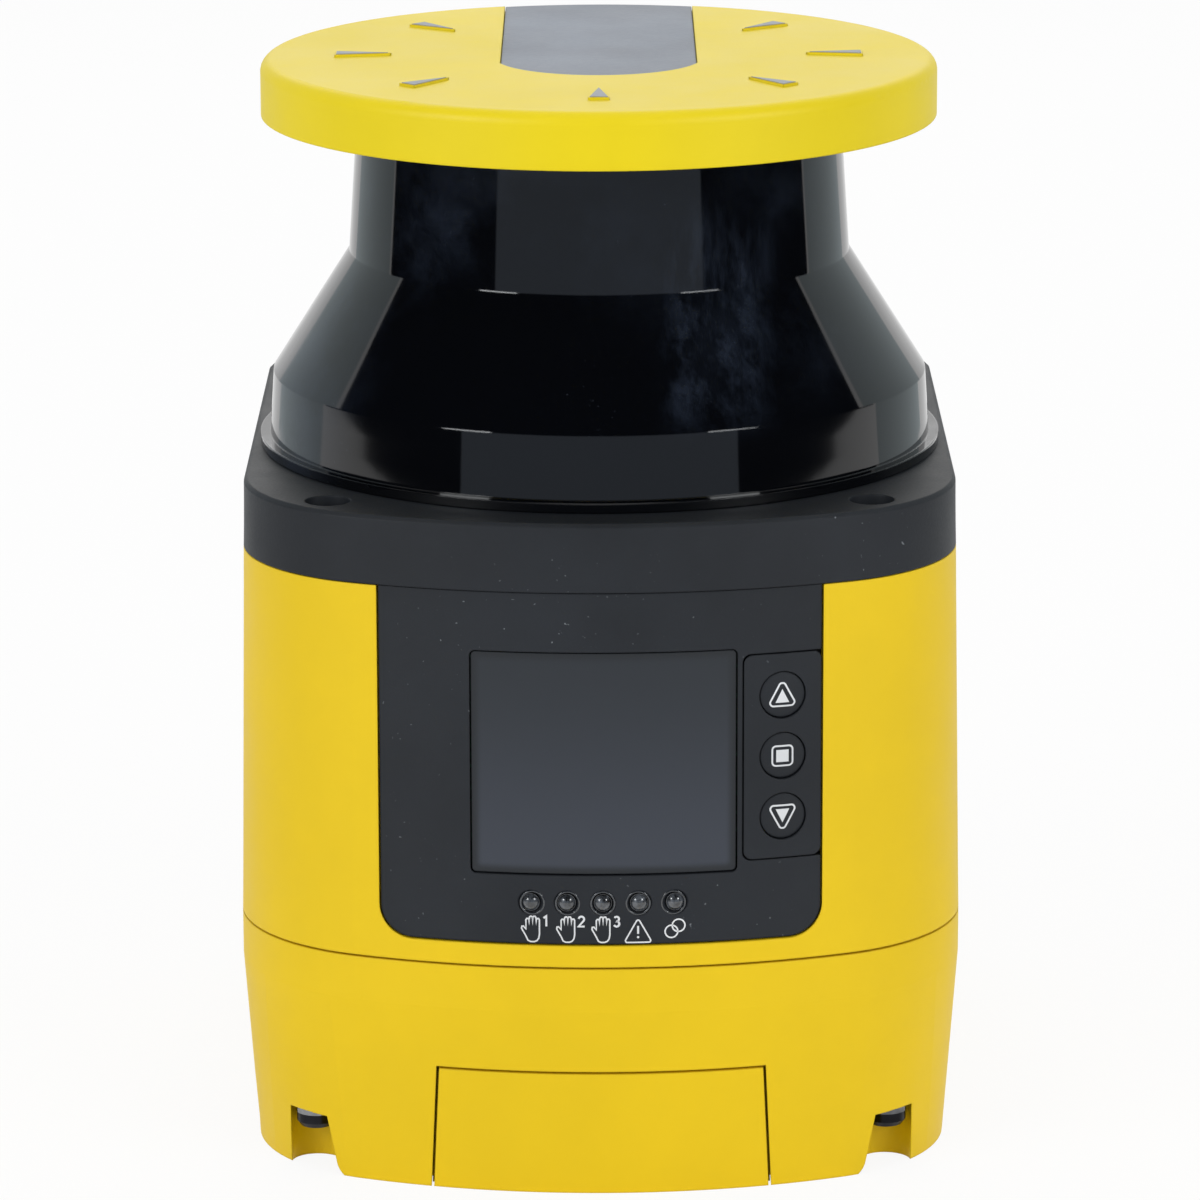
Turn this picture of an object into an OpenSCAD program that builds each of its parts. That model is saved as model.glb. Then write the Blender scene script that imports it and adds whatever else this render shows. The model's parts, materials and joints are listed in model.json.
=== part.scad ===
// Safety laser scanner: a low housing, a dark bezel ring, a conical scan window and a round cap.
// X is to the right, -Y is the front, +Z is up. The housing rests on its flat base.

/* [Housing] */
// width of the housing at the seam
body_width = 102; // [90:1:130]
// depth of the housing from the curved front to the flat back
body_depth = 112.5; // [104:0.5:140]
// radius of the shallow arc across the front
front_radius = 92; // [84:1:130]
// radius of the arcs that turn the front into the sides
corner_radius = 26.5; // [20:0.5:32]
// radius of the two rear corners
rear_radius = 8; // [6.5:0.5:12]
// height of the seam between base and body shell
seam_height = 33.4; // [30:0.2:44]
// height of the yellow body shell above the seam
shell_height = 53.2; // [50:0.2:70]
// height of the dark ring above the body shell
ring_height = 9.6; // [8.6:0.2:14]
// inward lean of the body and ring over their height
body_draft = 1.1; // [0.4:0.1:1.6]
// inward lean of the base at its foot
base_draft = 2; // [0.6:0.1:2.4]
// height where the base starts to lean inward
base_straight_from = 27; // [24:0.5:29]
// wall of the base and of the body shell
wall = 4.2; // [3.6:0.1:5]
// floor of the base
floor_thickness = 3; // [2.4:0.2:4]
// visible gap along the seam
seam_gap = 0.3; // [0.2:0.05:0.5]

/* [Scan window] */
// how far the scan axis lies in front of the housing centre
axis_forward = 0.5; // [0:0.5:3]
// outer radius of the window flange
flange_radius = 48.7; // [48:0.1:49.2]
// height of the window flange
flange_height = 1.5; // [1.2:0.1:2]
// outer radius at the bottom of the lower band
band_foot_radius = 47.3; // [47:0.1:47.6]
// outer radius where the lower band meets the cone
band_top_radius = 46.7; // [46:0.1:47]
// height of the lower band above the flange
band_height = 9; // [8:0.5:11]
// outer radius where the cone meets the neck
neck_radius = 35.7; // [34.5:0.1:37]
// height of the cone
cone_height = 17.3; // [15:0.1:20]
// outer radius of the neck under the cap
neck_top_radius = 34.4; // [33.8:0.1:34.4]
// height of the visible neck
neck_height = 19.6; // [18:0.2:26]
// wall of the window
window_wall = 2; // [1.6:0.1:2.4]
// half angle of the closed sector at the back
column_half_angle = 42.5; // [38:0.5:45]

/* [Cap] */
// radius of the round cap
cap_radius = 48; // [47:0.5:52]
// thickness of the cap from its underside to its top face
cap_height = 7.95; // [7.6:0.05:10]
// radius of the rounded upper rim
cap_rim_radius = 1.8; // [1:0.1:2.4]
// height of the angle marks above the top face
mark_rise = 0.45; // [0.3:0.05:0.6]
// length of one angle mark
mark_length = 7.3; // [5:0.1:9]
// width of one angle mark at its base
mark_width = 2.5; // [1.8:0.1:3.5]
// distance of the outer end of the marks from the scan axis
mark_outer = 37.2; // [34:0.2:41]
// width of the grey insert let into the cap
insert_width = 27.8; // [24:0.2:30]
// radius of the rounded front end of the insert
insert_end_radius = 14.5; // [14:0.1:17]
// thickness of the grey insert
insert_thickness = 1; // [0.8:0.1:1.3]

/* [Display panel] */
// half width of the dark front panel
panel_half_width = 30.4; // [30:0.2:32]
// height of the lower edge of the panel above the seam
panel_foot = 3.45; // [3:0.05:4.2]
// radius of the lower corners of the panel
panel_corner = 4.4; // [3:0.2:6]
// thickness of the panel
panel_thickness = 2.2; // [1.8:0.1:2.4]
// width of the screen opening
screen_width = 36.75; // [30:0.25:37]
// height of the screen opening
screen_height = 31.6; // [26:0.2:32]
// sideways place of the middle of the screen
screen_x = 0.45; // [0:0.05:0.5]
// height of the middle of the screen above the seam
screen_z = 29; // [28.8:0.1:30]
// number of indicator lamps
lamp_count = 5; // [3:1:5]
// spacing of the indicator lamps
lamp_pitch = 5.02; // [4.4:0.02:5.4]
// sideways place of the middle lamp
lamp_x = 0.3; // [-1:0.1:1]
// height of the lamps above the seam
lamp_z = 9.3; // [9:0.1:9.6]
// radius of one lamp dome
lamp_radius = 1.25; // [1:0.05:1.4]

/* [Keys] */
// sideways place of the keys
key_x = 25.3; // [25:0.1:25.5]
// height of the middle key above the seam
key_z = 29.3; // [28.8:0.1:29.8]
// spacing of the keys
key_pitch = 8.6; // [8.2:0.1:9]
// radius of one key
key_radius = 3.2; // [2.6:0.1:3.4]
// free gap around a key
key_gap = 0.15; // [0.15:0.05:0.35]
// travel of a key
key_travel = 0.6; // [0.4:0.05:0.7]
// width of the key strip
strip_width = 10.7; // [10:0.1:10.8]
// height of the key strip
strip_height = 28.9; // [26:0.1:29.4]

/* [Base fittings] */
// width of the memory module at its top edge
module_width = 45.1; // [40:0.1:46]
// how much wider the memory module is at the foot
module_flare = 1.8; // [0:0.2:2.4]
// height of the memory module
module_height = 18; // [16:0.2:18.4]
// depth of the memory module
module_depth = 34; // [30:0.5:36]
// visible gap around the memory module
module_gap = 0.35; // [0.25:0.05:0.5]
// distance of the front corner screws from the outside of the corner
corner_screw_inset = 4.3; // [3.95:0.05:4.35]
// direction of the front corner screws, from straight ahead round to the side
corner_screw_angle = 45; // [40:1:50]
// height of the ceiling of the corner notches
notch_ceiling = 8.6; // [8:0.1:10]
// radius of the corner notches
notch_radius = 3.6; // [3.5:0.1:4.2]
// how much wider a notch is at its foot than at its ceiling
notch_lean = 1.8; // [0:0.1:2]
// nominal diameter of the screws that hold base and ring
screw_diameter = 4; // [3.5:0.5:4]

/* [Rear connectors] */
// sideways place of the two round connectors
connector_x = 16; // [13:0.5:18]
// height of the two round connectors
connector_z = 16.5; // [15.5:0.5:17.5]
// diameter of the connector thread
connector_diameter = 12; // [10:1:12]
// depth of the recess the connectors stand in
connector_recess = 12; // [11.6:0.2:13]

/* [Rear mounting] */
// sideways spacing of the rear mounting holes
mount_spacing_x = 60; // [52:1:64]
// upright spacing of the rear mounting holes
mount_spacing_z = 28; // [24:1:32]
// height of the lower rear mounting holes above the seam
mount_z = 12; // [11:0.5:16]
// nominal diameter of the rear mounting threads
mount_diameter = 5; // [4:1:5]

/* [Scan drive] */
// radius of the rotating mirror
mirror_radius = 15; // [12:0.5:16]
// height of the middle of the mirror above the ring
mirror_z = 24; // [23:0.5:26]
// radius of the motor can
motor_radius = 21; // [19:0.5:24]
// radius of the motor shaft
shaft_radius = 3; // [2.5:0.25:3.5]
// radius of the encoder disc
encoder_radius = 26; // [22:0.5:28]

/* [Fits] */
// running clearance of the shaft in its bearings
running_clearance = 0.05; // [0.02:0.01:0.08]
// clearance between pieces that are fixed together
fixed_clearance = 0.1; // [0.05:0.01:0.12]
// clearance between a screw shank and its hole
screw_clearance = 0.1; // [0.05:0.05:0.25]

/* [Hidden] */
$fn = 96;

// shared levels
half_width = body_width / 2;
back_y = body_depth / 2;
front_y = -back_y;
axis_y = -axis_forward;
ring_foot = seam_height + shell_height;
ring_top = ring_foot + ring_height;
flange_foot = ring_top + fixed_clearance;
flange_top = ring_top + flange_height;
band_top = flange_top + band_height;
cone_top = band_top + cone_height;
cap_foot = cone_top + neck_height;
cap_top = cap_foot + cap_height;
base_top = seam_height - seam_gap / 2;
shell_foot = seam_height + seam_gap / 2;

// plan outline: one front arc, two corner arcs, straight sides, two rear corners
front_centre_y = front_y + front_radius;
corner_x = half_width - corner_radius;
corner_y = front_centre_y - sqrt(pow(front_radius - corner_radius, 2) - pow(corner_x, 2));
rear_x = half_width - rear_radius;
rear_y = back_y - rear_radius;
wedge_reach = 3;
overcut = 1;
far = body_depth;

// screws
screw_r = screw_diameter / 2;
screw_hole_r = screw_r + screw_clearance;
head_r = screw_diameter * 0.7;
head_h = screw_diameter * 0.8;
corner_head_h = screw_diameter * 0.5;
washer_r = head_r + 0.1;
washer_h = 0.8;
socket_r = screw_diameter * 0.4;
boss_r = screw_r + 4;
boss_bite = 0.6;
corner_screw_reach = corner_radius - corner_screw_inset;
corner_screw_x = corner_x + corner_screw_reach * sin(corner_screw_angle);
front_screw_y = corner_y - corner_screw_reach * cos(corner_screw_angle);
rear_screw_x = half_width - 9.5;
rear_screw_y = back_y - 10.2;
ring_screw_angle = corner_screw_angle - 5.5;
ring_screw_reach = corner_screw_reach - 1.77;
ring_screw_x = corner_x + ring_screw_reach * sin(ring_screw_angle);
ring_screw_y = corner_y - ring_screw_reach * cos(ring_screw_angle);
ring_bore_r = head_r + 0.35;
ring_bore_depth = 6.2;
ring_plate = 2.8;
ring_cavity_top = ring_top - ring_plate;
spigot_drop = 3.2;
screw_bite = 12;
boss_h = screw_bite + 3;
gasket_from = 1.1;
gasket_width = 1.2;
gasket_detour = screw_hole_r + 1.2;

// front panel
panel_inset = 0.25;
panel_gap = 0.25;
panel_bottom = seam_height + panel_foot;
panel_top = ring_foot - 0.12;
panel_back = panel_inset + panel_thickness;
screen_cz = seam_height + screen_z;
lamp_cz = seam_height + lamp_z;
key_cz = seam_height + key_z;
strip_left = key_x + 5.1 - strip_width;
strip_right = panel_half_width;
strip_depth = 1.4;
front_reach = front_radius - sqrt(pow(front_radius, 2) - pow(panel_half_width + panel_gap, 2))
  + panel_thickness + 2;
opening_left = -27;
opening_right = 28.6;
opening_foot = panel_bottom + 3.4;
opening_top = ring_foot - 5;
glass_gap = 0.2;
lcd_front = front_y + 4.9;
lcd_depth = 2.6;
hmi_front = lcd_front + lcd_depth + 1.4;
board_t = 1.6;

// keys
key_angle = asin(key_x / front_radius);
key_rise = 0.15;
key_length = 3.6;
key_flange_r = key_radius + 0.9;
key_flange_h = 0.8;
key_dome_r = 14;
key_back = key_length + key_flange_h - key_rise;
switch_gap = 0.3;
seat_gap = 0.15;
plunger_h = 0.7;
plunger_r = 1.1;
switch_h = 1.6;
switch_side = 4.4;
key_board_at = key_back + key_travel + switch_gap + plunger_h + switch_h + seat_gap;

// memory module
pocket_top = module_height + module_gap / 2;
pocket_half = module_width / 2 + module_gap;
pocket_foot_half = pocket_half + module_flare / 2;
pocket_back = front_y + module_depth + module_gap;
pocket_wall = 2.2;
module_screw_x = module_width / 2 - 2.9;
module_screw_y = front_y + 24;
module_screw_r = 1.5;
module_head_r = 2.6;
module_head_h = 2;
module_cavity_half = module_screw_x - 3.2;
module_cavity_front = front_y + 8;
bead_front = front_y + 7;
bead_depth = 1.5;
bead_step = 2.5;

// rear connectors
recess_half = connector_x + 14;
recess_floor_y = back_y - connector_recess;
recess_foot = connector_z - 10.5;
recess_top = connector_z + 11;
recess_wall = 2.5;
connector_r = connector_diameter / 2;
shell_bore_r = connector_r - 1.1;
nut_h = 2.6;
connector_rear = recess_floor_y - recess_wall - nut_h - 1;
connector_tip = back_y - 1;
connector_insert_end = recess_floor_y + 3.5;
pin_r = 0.5;
pin_circle = 2.75;
pin_count = 7;

// scan head
window_in = window_wall;
groove_depth = 2.4;
window_lip = cap_foot + 1.8;
seal_h = 0.9;
seal_outer = band_foot_radius - 0.7;
seal_inner = band_foot_radius - 2.9;
column_r = 45.4;
column_in_r = 23;
opening_r = 41;
cap_cavity_r = 27;
cap_cavity_top = cap_top - 2.6;
pocket_in_r = 37.5;
pocket_out_r = cap_radius - 3;
cap_web = 2.8;
insert_centre_forward = 2.7;
insert_floor = cap_top - insert_thickness;

// motor and rotor
bracket_foot = ring_foot + 0.4;
bracket_t = 2.4;
bracket_boss_r = 11;
bearing_r = 8;
bearing_h = 4;
motor_h = 23;
motor_foot = bracket_foot - motor_h;
motor_wall = 1.5;
motor_floor = 5;
bracket_boss_top = bracket_foot + 6;
post_r = 3;
post_at = 35.6;
bracket_r = post_at + post_r + 0.4;
magnet_r = motor_radius * 0.5;
air_gap = 0.6;
stator_r = motor_radius - motor_wall - fixed_clearance;
stator_z = motor_foot + motor_floor + 3;
stator_h = motor_h - motor_floor - 6;
encoder_z = bracket_boss_top + 2;
encoder_t = 0.8;
carrier_foot = encoder_z + encoder_t;
carrier_r = mirror_radius + 1;
mirror_cz = ring_top + mirror_z;
mirror_t = 2;
shaft_top = carrier_foot + 6;
holder_foot = mirror_cz + carrier_r + 1.6;
holder_r = mirror_radius + 3;
holder_in_r = mirror_radius + 1;
holder_flange_r = cap_cavity_r - 1;
holder_flange_h = 2.2;
lens_r = holder_in_r - fixed_clearance;
lens_ledge = 2;
laser_r = 3.2;

// boards inside the body
cavity_back_y = back_y - wall;
main_board_y = back_y - 22;
main_board_half = 34;
main_board_foot = seam_height + 6;
main_board_h = shell_height - 12;
main_post_x = 14;
main_post_r = 2.6;
power_board_z = floor_thickness + 8;
power_half = 34;
power_front = pocket_back + pocket_wall + 5;
power_back = recess_floor_y - recess_wall - nut_h - 3;
power_post_r = 2.6;
mount_r = mount_diameter / 2;
mount_insert_r = mount_r + 1;
mount_insert_length = 10;
mount_boss_r = mount_insert_r + 2.2;

housing_colour = [0.89, 0.75, 0.14];
dark_colour = [0.2, 0.22, 0.24];
glossy_colour = [0.05, 0.05, 0.06];
grey_colour = [0.62, 0.64, 0.69];
steel_colour = [0.75, 0.76, 0.78];
board_colour = [0.1, 0.35, 0.2];
brass_colour = [0.8, 0.65, 0.3];
rubber_colour = [0.12, 0.12, 0.12];
chip_colour = [0.15, 0.15, 0.16];

// plan outline drawn inward by d
module outline(d) {
  union() {
    intersection() {
      translate([0, front_centre_y]) circle(r = front_radius - d);
      front_sector();
    }
    for (s = [-1, 1]) translate([s * corner_x, corner_y]) circle(r = corner_radius - d);
    for (s = [-1, 1]) translate([s * rear_x, rear_y]) circle(r = rear_radius - d);
    translate([-(half_width - d), corner_y]) square([2 * (half_width - d), rear_y - corner_y]);
    translate([-rear_x, corner_y]) square([2 * rear_x, back_y - d - corner_y]);
  }
}

module front_sector() {
  reach_x = wedge_reach * corner_x;
  reach_y = front_centre_y + wedge_reach * (corner_y - front_centre_y);
  polygon([[0, front_centre_y], [-reach_x, reach_y], [reach_x, reach_y]]);
}

module corner_sector(s) {
  reach_y = front_centre_y + wedge_reach * (corner_y - front_centre_y);
  polygon([[s * corner_x, corner_y], [s * wedge_reach * corner_x, reach_y],
    [s * wedge_reach * half_width, reach_y], [s * wedge_reach * half_width, corner_y]]);
}

// leaning block: the outline drawn in by d0 at z0 and by d1 at z1
module leaning(z0, z1, d0, d1) {
  h = z1 - z0;
  union() {
    intersection() {
      translate([0, front_centre_y, z0])
        cylinder(h = h, r1 = front_radius - d0, r2 = front_radius - d1);
      translate([0, 0, z0]) linear_extrude(height = h) front_sector();
    }
    for (s = [-1, 1]) intersection() {
      translate([s * corner_x, corner_y, z0])
        cylinder(h = h, r1 = corner_radius - d0, r2 = corner_radius - d1);
      translate([0, 0, z0]) linear_extrude(height = h) corner_sector(s);
    }
    for (s = [-1, 1]) intersection() {
      translate([s * rear_x, rear_y, z0])
        cylinder(h = h, r1 = rear_radius - d0, r2 = rear_radius - d1);
      translate([s > 0 ? rear_x : -rear_x - rear_radius, rear_y, z0])
        cube([rear_radius, rear_radius, h]);
    }
    translate([0, rear_y, 0]) rotate([90, 0, 0]) linear_extrude(height = rear_y - corner_y)
      polygon([[-(half_width - d0), z0], [half_width - d0, z0],
        [half_width - d1, z1], [-(half_width - d1), z1]]);
    translate([-rear_x, 0, 0]) rotate([90, 0, 90]) linear_extrude(height = 2 * rear_x)
      polygon([[rear_y, z0], [back_y - d0, z0], [back_y - d1, z1], [rear_y, z1]]);
  }
}

// inward lean of the body at height z
function lean(z) = body_draft * (z - seam_height) / (ring_top - seam_height);

// leaning body surface drawn in by d
module body_block(z0, z1, d) {
  leaning(z0, z1, lean(z0) + d, lean(z1) + d);
}

module base_block() {
  union() {
    leaning(0, base_straight_from, base_draft, 0);
    translate([0, 0, base_straight_from])
      linear_extrude(height = base_top - base_straight_from) outline(0);
  }
}

// shape drawn in the front view and run through the front wall
module front_prism(depth) {
  translate([0, front_y + depth, 0]) rotate([90, 0, 0]) linear_extrude(height = depth + overcut)
    children();
}

module rounded_box(x0, x1, z0, z1, r) {
  union() {
    translate([x0 + r, z0]) square([x1 - x0 - 2 * r, z1 - z0]);
    translate([x0, z0 + r]) square([x1 - x0, z1 - z0 - 2 * r]);
    for (x = [x0 + r, x1 - r], z = [z0 + r, z1 - r]) translate([x, z]) circle(r = r, $fn = 32);
  }
}

// front view of the dark panel grown by g
module panel_shape(g) {
  w = panel_half_width + g;
  r = panel_corner + g;
  union() {
    translate([-w, panel_bottom - g + r]) square([2 * w, panel_top - panel_bottom + 5 * g - r]);
    translate([-w + r, panel_bottom - g]) square([2 * (w - r), r]);
    for (s = [-1, 1]) translate([s * (w - r), panel_bottom - g + r]) circle(r = r, $fn = 48);
  }
}

// place on the front arc at sideways x and height z, turned so that -Y is outward
module on_front(x, z, inset) {
  a = asin(x / front_radius);
  translate([0, front_centre_y, z]) rotate([0, 0, a])
    translate([0, -(front_radius - lean(z) - inset), 0]) children();
}

// peg along the local depth axis from depth y0 to y1
module peg(r, y0, y1) {
  translate([0, y1, 0]) rotate([90, 0, 0]) cylinder(h = y1 - y0, r = r, $fn = 48);
}

module at_axis() {
  translate([0, axis_y, 0]) children();
}

module tube(r_out, r_in, z0, z1) {
  translate([0, 0, z0]) difference() {
    cylinder(h = z1 - z0, r = r_out);
    translate([0, 0, -overcut]) cylinder(h = z1 - z0 + 2 * overcut, r = r_in);
  }
}

// sector behind the scan axis, drawn in by g on both flanks
module rear_sector(g, z0, z1) {
  k = body_width;
  apex = g / sin(column_half_angle);
  translate([0, 0, z0]) linear_extrude(height = z1 - z0)
    polygon([[0, apex], [k * sin(column_half_angle), apex + k * cos(column_half_angle)],
      [-k * sin(column_half_angle), apex + k * cos(column_half_angle)]]);
}

module front_screw_places() {
  for (s = [-1, 1]) translate([s * corner_screw_x, front_screw_y, 0]) children();
}

module rear_screw_places() {
  for (s = [-1, 1]) translate([s * rear_screw_x, rear_screw_y, 0]) children();
}

module ring_screw_places() {
  for (s = [-1, 1]) translate([s * ring_screw_x, ring_screw_y, 0]) children();
  for (s = [-1, 1]) translate([s * rear_screw_x, rear_screw_y, 0]) children();
}

module pocket_shape(g) {
  polygon([[-(pocket_foot_half - g), -overcut], [pocket_foot_half - g, -overcut],
    [pocket_half - g, pocket_top - g], [-(pocket_half - g), pocket_top - g]]);
}

// mouth of a corner notch, its inner side leaning inward to a rounded foot
module notch_mouth(s) {
  top = notch_ceiling + overcut - 0.05;
  inner = notch_radius - notch_lean / 2;
  foot = notch_radius + notch_lean / 2;
  polygon([[s * (notch_radius + 0.5), 0], [s * (notch_radius + 0.5), top], [-s * inner, top],
    [-s * (foot - 0.35), overcut + 1.4], [-s * foot, overcut + 0.7],
    [-s * (foot + 0.35), overcut + 0.3], [-s * (foot + 1.65), 0]]);
}

module base_housing() {
  color(housing_colour) difference() {
    union() {
      difference() {
        base_block();
        translate([0, 0, floor_thickness]) linear_extrude(height = base_top) outline(wall + 0.4);
      }
      // walls round the module pocket
      intersection() {
        base_block();
        translate([-pocket_foot_half - pocket_wall, front_y, 0])
          cube([2 * (pocket_foot_half + pocket_wall), module_depth + module_gap + pocket_wall,
            pocket_top + pocket_wall]);
      }
      // towers for the module screws
      for (s = [-1, 1]) translate([s * module_screw_x, module_screw_y, pocket_top])
        cylinder(h = 8, r = 3.6, $fn = 48);
      // walls round the connector recess
      intersection() {
        base_block();
        translate([-recess_half - recess_wall, recess_floor_y - recess_wall, 0])
          cube([2 * (recess_half + recess_wall), far, recess_top + recess_wall]);
      }
      // solid corners for the screws
      intersection() {
        base_block();
        union() {
          front_screw_places() cylinder(h = base_top, r = boss_r + 1.5, $fn = 64);
          rear_screw_places() cylinder(h = base_top, r = boss_r, $fn = 64);
        }
      }
    }
    // module pocket, with a bead left standing on its sides and top
    pocket_cut(front_y - overcut, pocket_back, module_gap - fixed_clearance);
    pocket_cut(front_y - overcut, bead_front + bead_step, 0);
    pocket_cut(bead_front + bead_step + bead_depth, pocket_back, 0);
    for (s = [-1, 1]) translate([s * module_screw_x, module_screw_y, 0])
      cylinder(h = pocket_top + 7, r = module_screw_r + screw_clearance, $fn = 32);
    // socket opening between pocket and cavity
    translate([-9.2, pocket_back - overcut, 6.8]) cube([18.4, pocket_wall + 2 * overcut, 6.4]);
    // connector recess with its two holes
    translate([-recess_half, recess_floor_y, recess_foot])
      cube([2 * recess_half, far, recess_top - recess_foot]);
    for (s = [-1, 1]) translate([s * connector_x, 0, connector_z])
      peg(connector_r + fixed_clearance, recess_floor_y - recess_wall - overcut, back_y);
    // corner notches, open to the front
    front_screw_places() translate([0, 0, -overcut])
      cylinder(h = notch_ceiling + overcut, r = notch_radius, $fn = 64);
    for (s = [-1, 1]) translate([s * corner_screw_x, front_screw_y, -overcut])
      rotate([0, 0, s * 12]) translate([0, -1, 0]) rotate([90, 0, 0])
        linear_extrude(height = 20) notch_mouth(s);
    rear_screw_places() translate([0, 0, -overcut])
      cylinder(h = notch_ceiling + overcut, r = notch_radius, $fn = 64);
    front_screw_places() cylinder(h = far, r = screw_hole_r, $fn = 32);
    rear_screw_places() cylinder(h = far, r = screw_hole_r, $fn = 32);
    // groove for the seam gasket
    translate([0, 0, base_top - 0.8]) linear_extrude(height = 2) gasket_shape();
  }
}

// seam gasket in plan, led round the inner side of the front corner screws
module gasket_shape() {
  difference() {
    union() {
      difference() {
        outline(gasket_from);
        outline(gasket_from + gasket_width);
      }
      intersection() {
        outline(gasket_from);
        front_screw_places() circle(r = gasket_detour + gasket_width);
      }
    }
    front_screw_places() circle(r = gasket_detour);
  }
}

module base_gasket() {
  color(rubber_colour) translate([0, 0, base_top - 0.75])
    linear_extrude(height = 0.75 + seam_gap - 0.02) gasket_shape();
}

// the pocket drawn in by g, from y0 back to y1
module pocket_cut(y0, y1, g) {
  translate([0, y1, 0]) rotate([90, 0, 0]) linear_extrude(height = y1 - y0) pocket_shape(g);
}

module memory_module() {
  color(housing_colour) difference() {
    intersection() {
      base_block();
      union() {
        pocket_cut(front_y - overcut, front_y + module_depth, module_gap);
        pocket_cut(bead_front, bead_front + bead_depth, fixed_clearance);
      }
    }
    translate([-module_cavity_half, module_cavity_front, floor_thickness])
      cube([2 * module_cavity_half, far, module_height - floor_thickness - 3]);
    for (s = [-1, 1]) translate([s * module_screw_x, module_screw_y, -overcut]) {
      cylinder(h = far, r = module_screw_r + screw_clearance, $fn = 32);
      cylinder(h = module_head_h + 1 + overcut, r = module_head_r + 0.2, $fn = 48);
    }
  }
}

module module_board() {
  w = module_cavity_half - 0.6;
  color(board_colour) translate([-w, module_cavity_front + 1, floor_thickness + 0.5])
    cube([2 * w, module_depth - 10, board_t]);
}

module module_plug() {
  z0 = floor_thickness + 0.5 + board_t + 0.05;
  color(chip_colour) union() {
    translate([-8, front_y + module_depth - 9, z0]) cube([16, 8, 5.4]);
    translate([-6, front_y + 14, z0]) cube([12, 9, 1.8]);
  }
}

module base_socket() {
  color(chip_colour) difference() {
    translate([-9, pocket_back - 0.5, 7]) cube([18, pocket_wall + 3.5, 6]);
    translate([-7.5, pocket_back - overcut, 8.5]) cube([15, 3, 3]);
  }
}

module module_screws() {
  color(steel_colour) for (s = [-1, 1]) translate([s * module_screw_x, module_screw_y, 1]) {
    difference() {
      union() {
        cylinder(h = module_head_h, r = module_head_r, $fn = 48);
        cylinder(h = pocket_top + 4, r = module_screw_r, $fn = 32);
      }
      translate([0, 0, -overcut]) cylinder(h = overcut + 1.2, r = 1.3, $fn = 6);
    }
  }
}

module body_shell() {
  shell_top = ring_foot - 0.15;
  color(housing_colour) difference() {
    union() {
      difference() {
        body_block(shell_foot, shell_top, 0);
        translate([0, 0, shell_foot - overcut]) linear_extrude(height = far) outline(wall);
      }
      shell_bosses(shell_top);
    }
    // seat of the dark panel
    difference() {
      front_prism(front_reach) panel_shape(panel_gap);
      body_block(shell_foot - overcut, ring_top, panel_back + fixed_clearance);
    }
    translate([opening_left, front_y - overcut, opening_foot])
      cube([opening_right - opening_left, front_reach + 2 * wall, opening_top - opening_foot]);
    mount_places() peg(mount_insert_r + fixed_clearance, -mount_insert_length, 5);
    // bores of the front corner screws, which run partly in the wall
    front_screw_places() translate([0, 0, shell_foot - overcut])
      cylinder(h = boss_h + 2 * overcut, r = screw_hole_r, $fn = 32);
    for (s = [-1, 1]) translate([s * ring_screw_x, ring_screw_y, shell_top - boss_h - overcut])
      cylinder(h = boss_h + 2 * overcut, r = screw_hole_r, $fn = 32);
  }
}

// bosses inside the body shell for the screws and the mounting inserts
module shell_bosses(shell_top) {
  intersection() {
    translate([0, 0, shell_foot]) linear_extrude(height = shell_top - shell_foot)
      outline(wall - 1);
    union() {
      for (s = [-1, 1]) {
        translate([s * corner_screw_x, front_screw_y, shell_foot])
          cylinder(h = boss_h, r = boss_r);
        translate([s * ring_screw_x, ring_screw_y, shell_top - boss_h])
          cylinder(h = boss_h, r = boss_r);
        translate([s * rear_screw_x, rear_screw_y, shell_foot]) corner_block(s, boss_h);
        translate([s * rear_screw_x, rear_screw_y, shell_top - boss_h]) corner_block(s, boss_h);
      }
      mount_places() peg(mount_boss_r, -mount_insert_length - 1.5, 0);
    }
  }
}

// bored block that fills a rear corner
module corner_block(s, h) {
  difference() {
    translate([s > 0 ? -boss_r + 0.5 : -boss_r - rear_radius, -boss_r + 0.5, 0])
      cube([2 * boss_r + rear_radius - boss_r - 0.5, 2 * boss_r + rear_radius, h]);
    translate([0, 0, -overcut]) cylinder(h = h + 2 * overcut, r = screw_hole_r, $fn = 32);
  }
}

// rear mounting holes; local +Y points out of the back
module mount_places() {
  for (s = [-1, 1], k = [0, 1])
    translate([s * mount_spacing_x / 2, back_y, seam_height + mount_z + k * mount_spacing_z])
      children();
}

module mount_inserts() {
  color(brass_colour) mount_places() difference() {
    peg(mount_insert_r, -mount_insert_length + 0.1, -0.6 - body_draft);
    peg(mount_r * 0.84, -mount_insert_length - overcut, 1);
  }
}

module display_panel() {
  color(dark_colour) difference() {
    intersection() {
      difference() {
        body_block(seam_height, ring_foot, panel_inset);
        body_block(seam_height - overcut, ring_foot + overcut, panel_back);
      }
      front_prism(front_reach) panel_shape(0);
    }
    front_prism(front_reach) rounded_box(screen_x - screen_width / 2, screen_x + screen_width / 2,
      screen_cz - screen_height / 2, screen_cz + screen_height / 2, 0.8);
    // seat of the key strip, open to the right edge
    difference() {
      front_prism(front_reach) strip_shape(0.2, panel_half_width + 2);
      body_block(seam_height, ring_foot, panel_inset + strip_depth);
    }
    key_places() peg(key_radius + key_gap, -2, panel_back + 2);
    lamp_places() {
      peg(lamp_radius + 0.08, -2, panel_back + 2);
      translate([0, -0.02, 0]) rotate([-90, 0, 0])
        cylinder(h = 0.6, r1 = lamp_radius + 0.62, r2 = lamp_radius + 0.02, $fn = 48);
    }
  }
}

module strip_shape(g, right) {
  rounded_box(strip_left - g, right, key_cz - strip_height / 2 - g,
    key_cz + strip_height / 2 + g, 1.2);
}

module key_places() {
  for (k = [-1, 0, 1]) on_front(key_x, key_cz + k * key_pitch, panel_inset) children();
}

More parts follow.
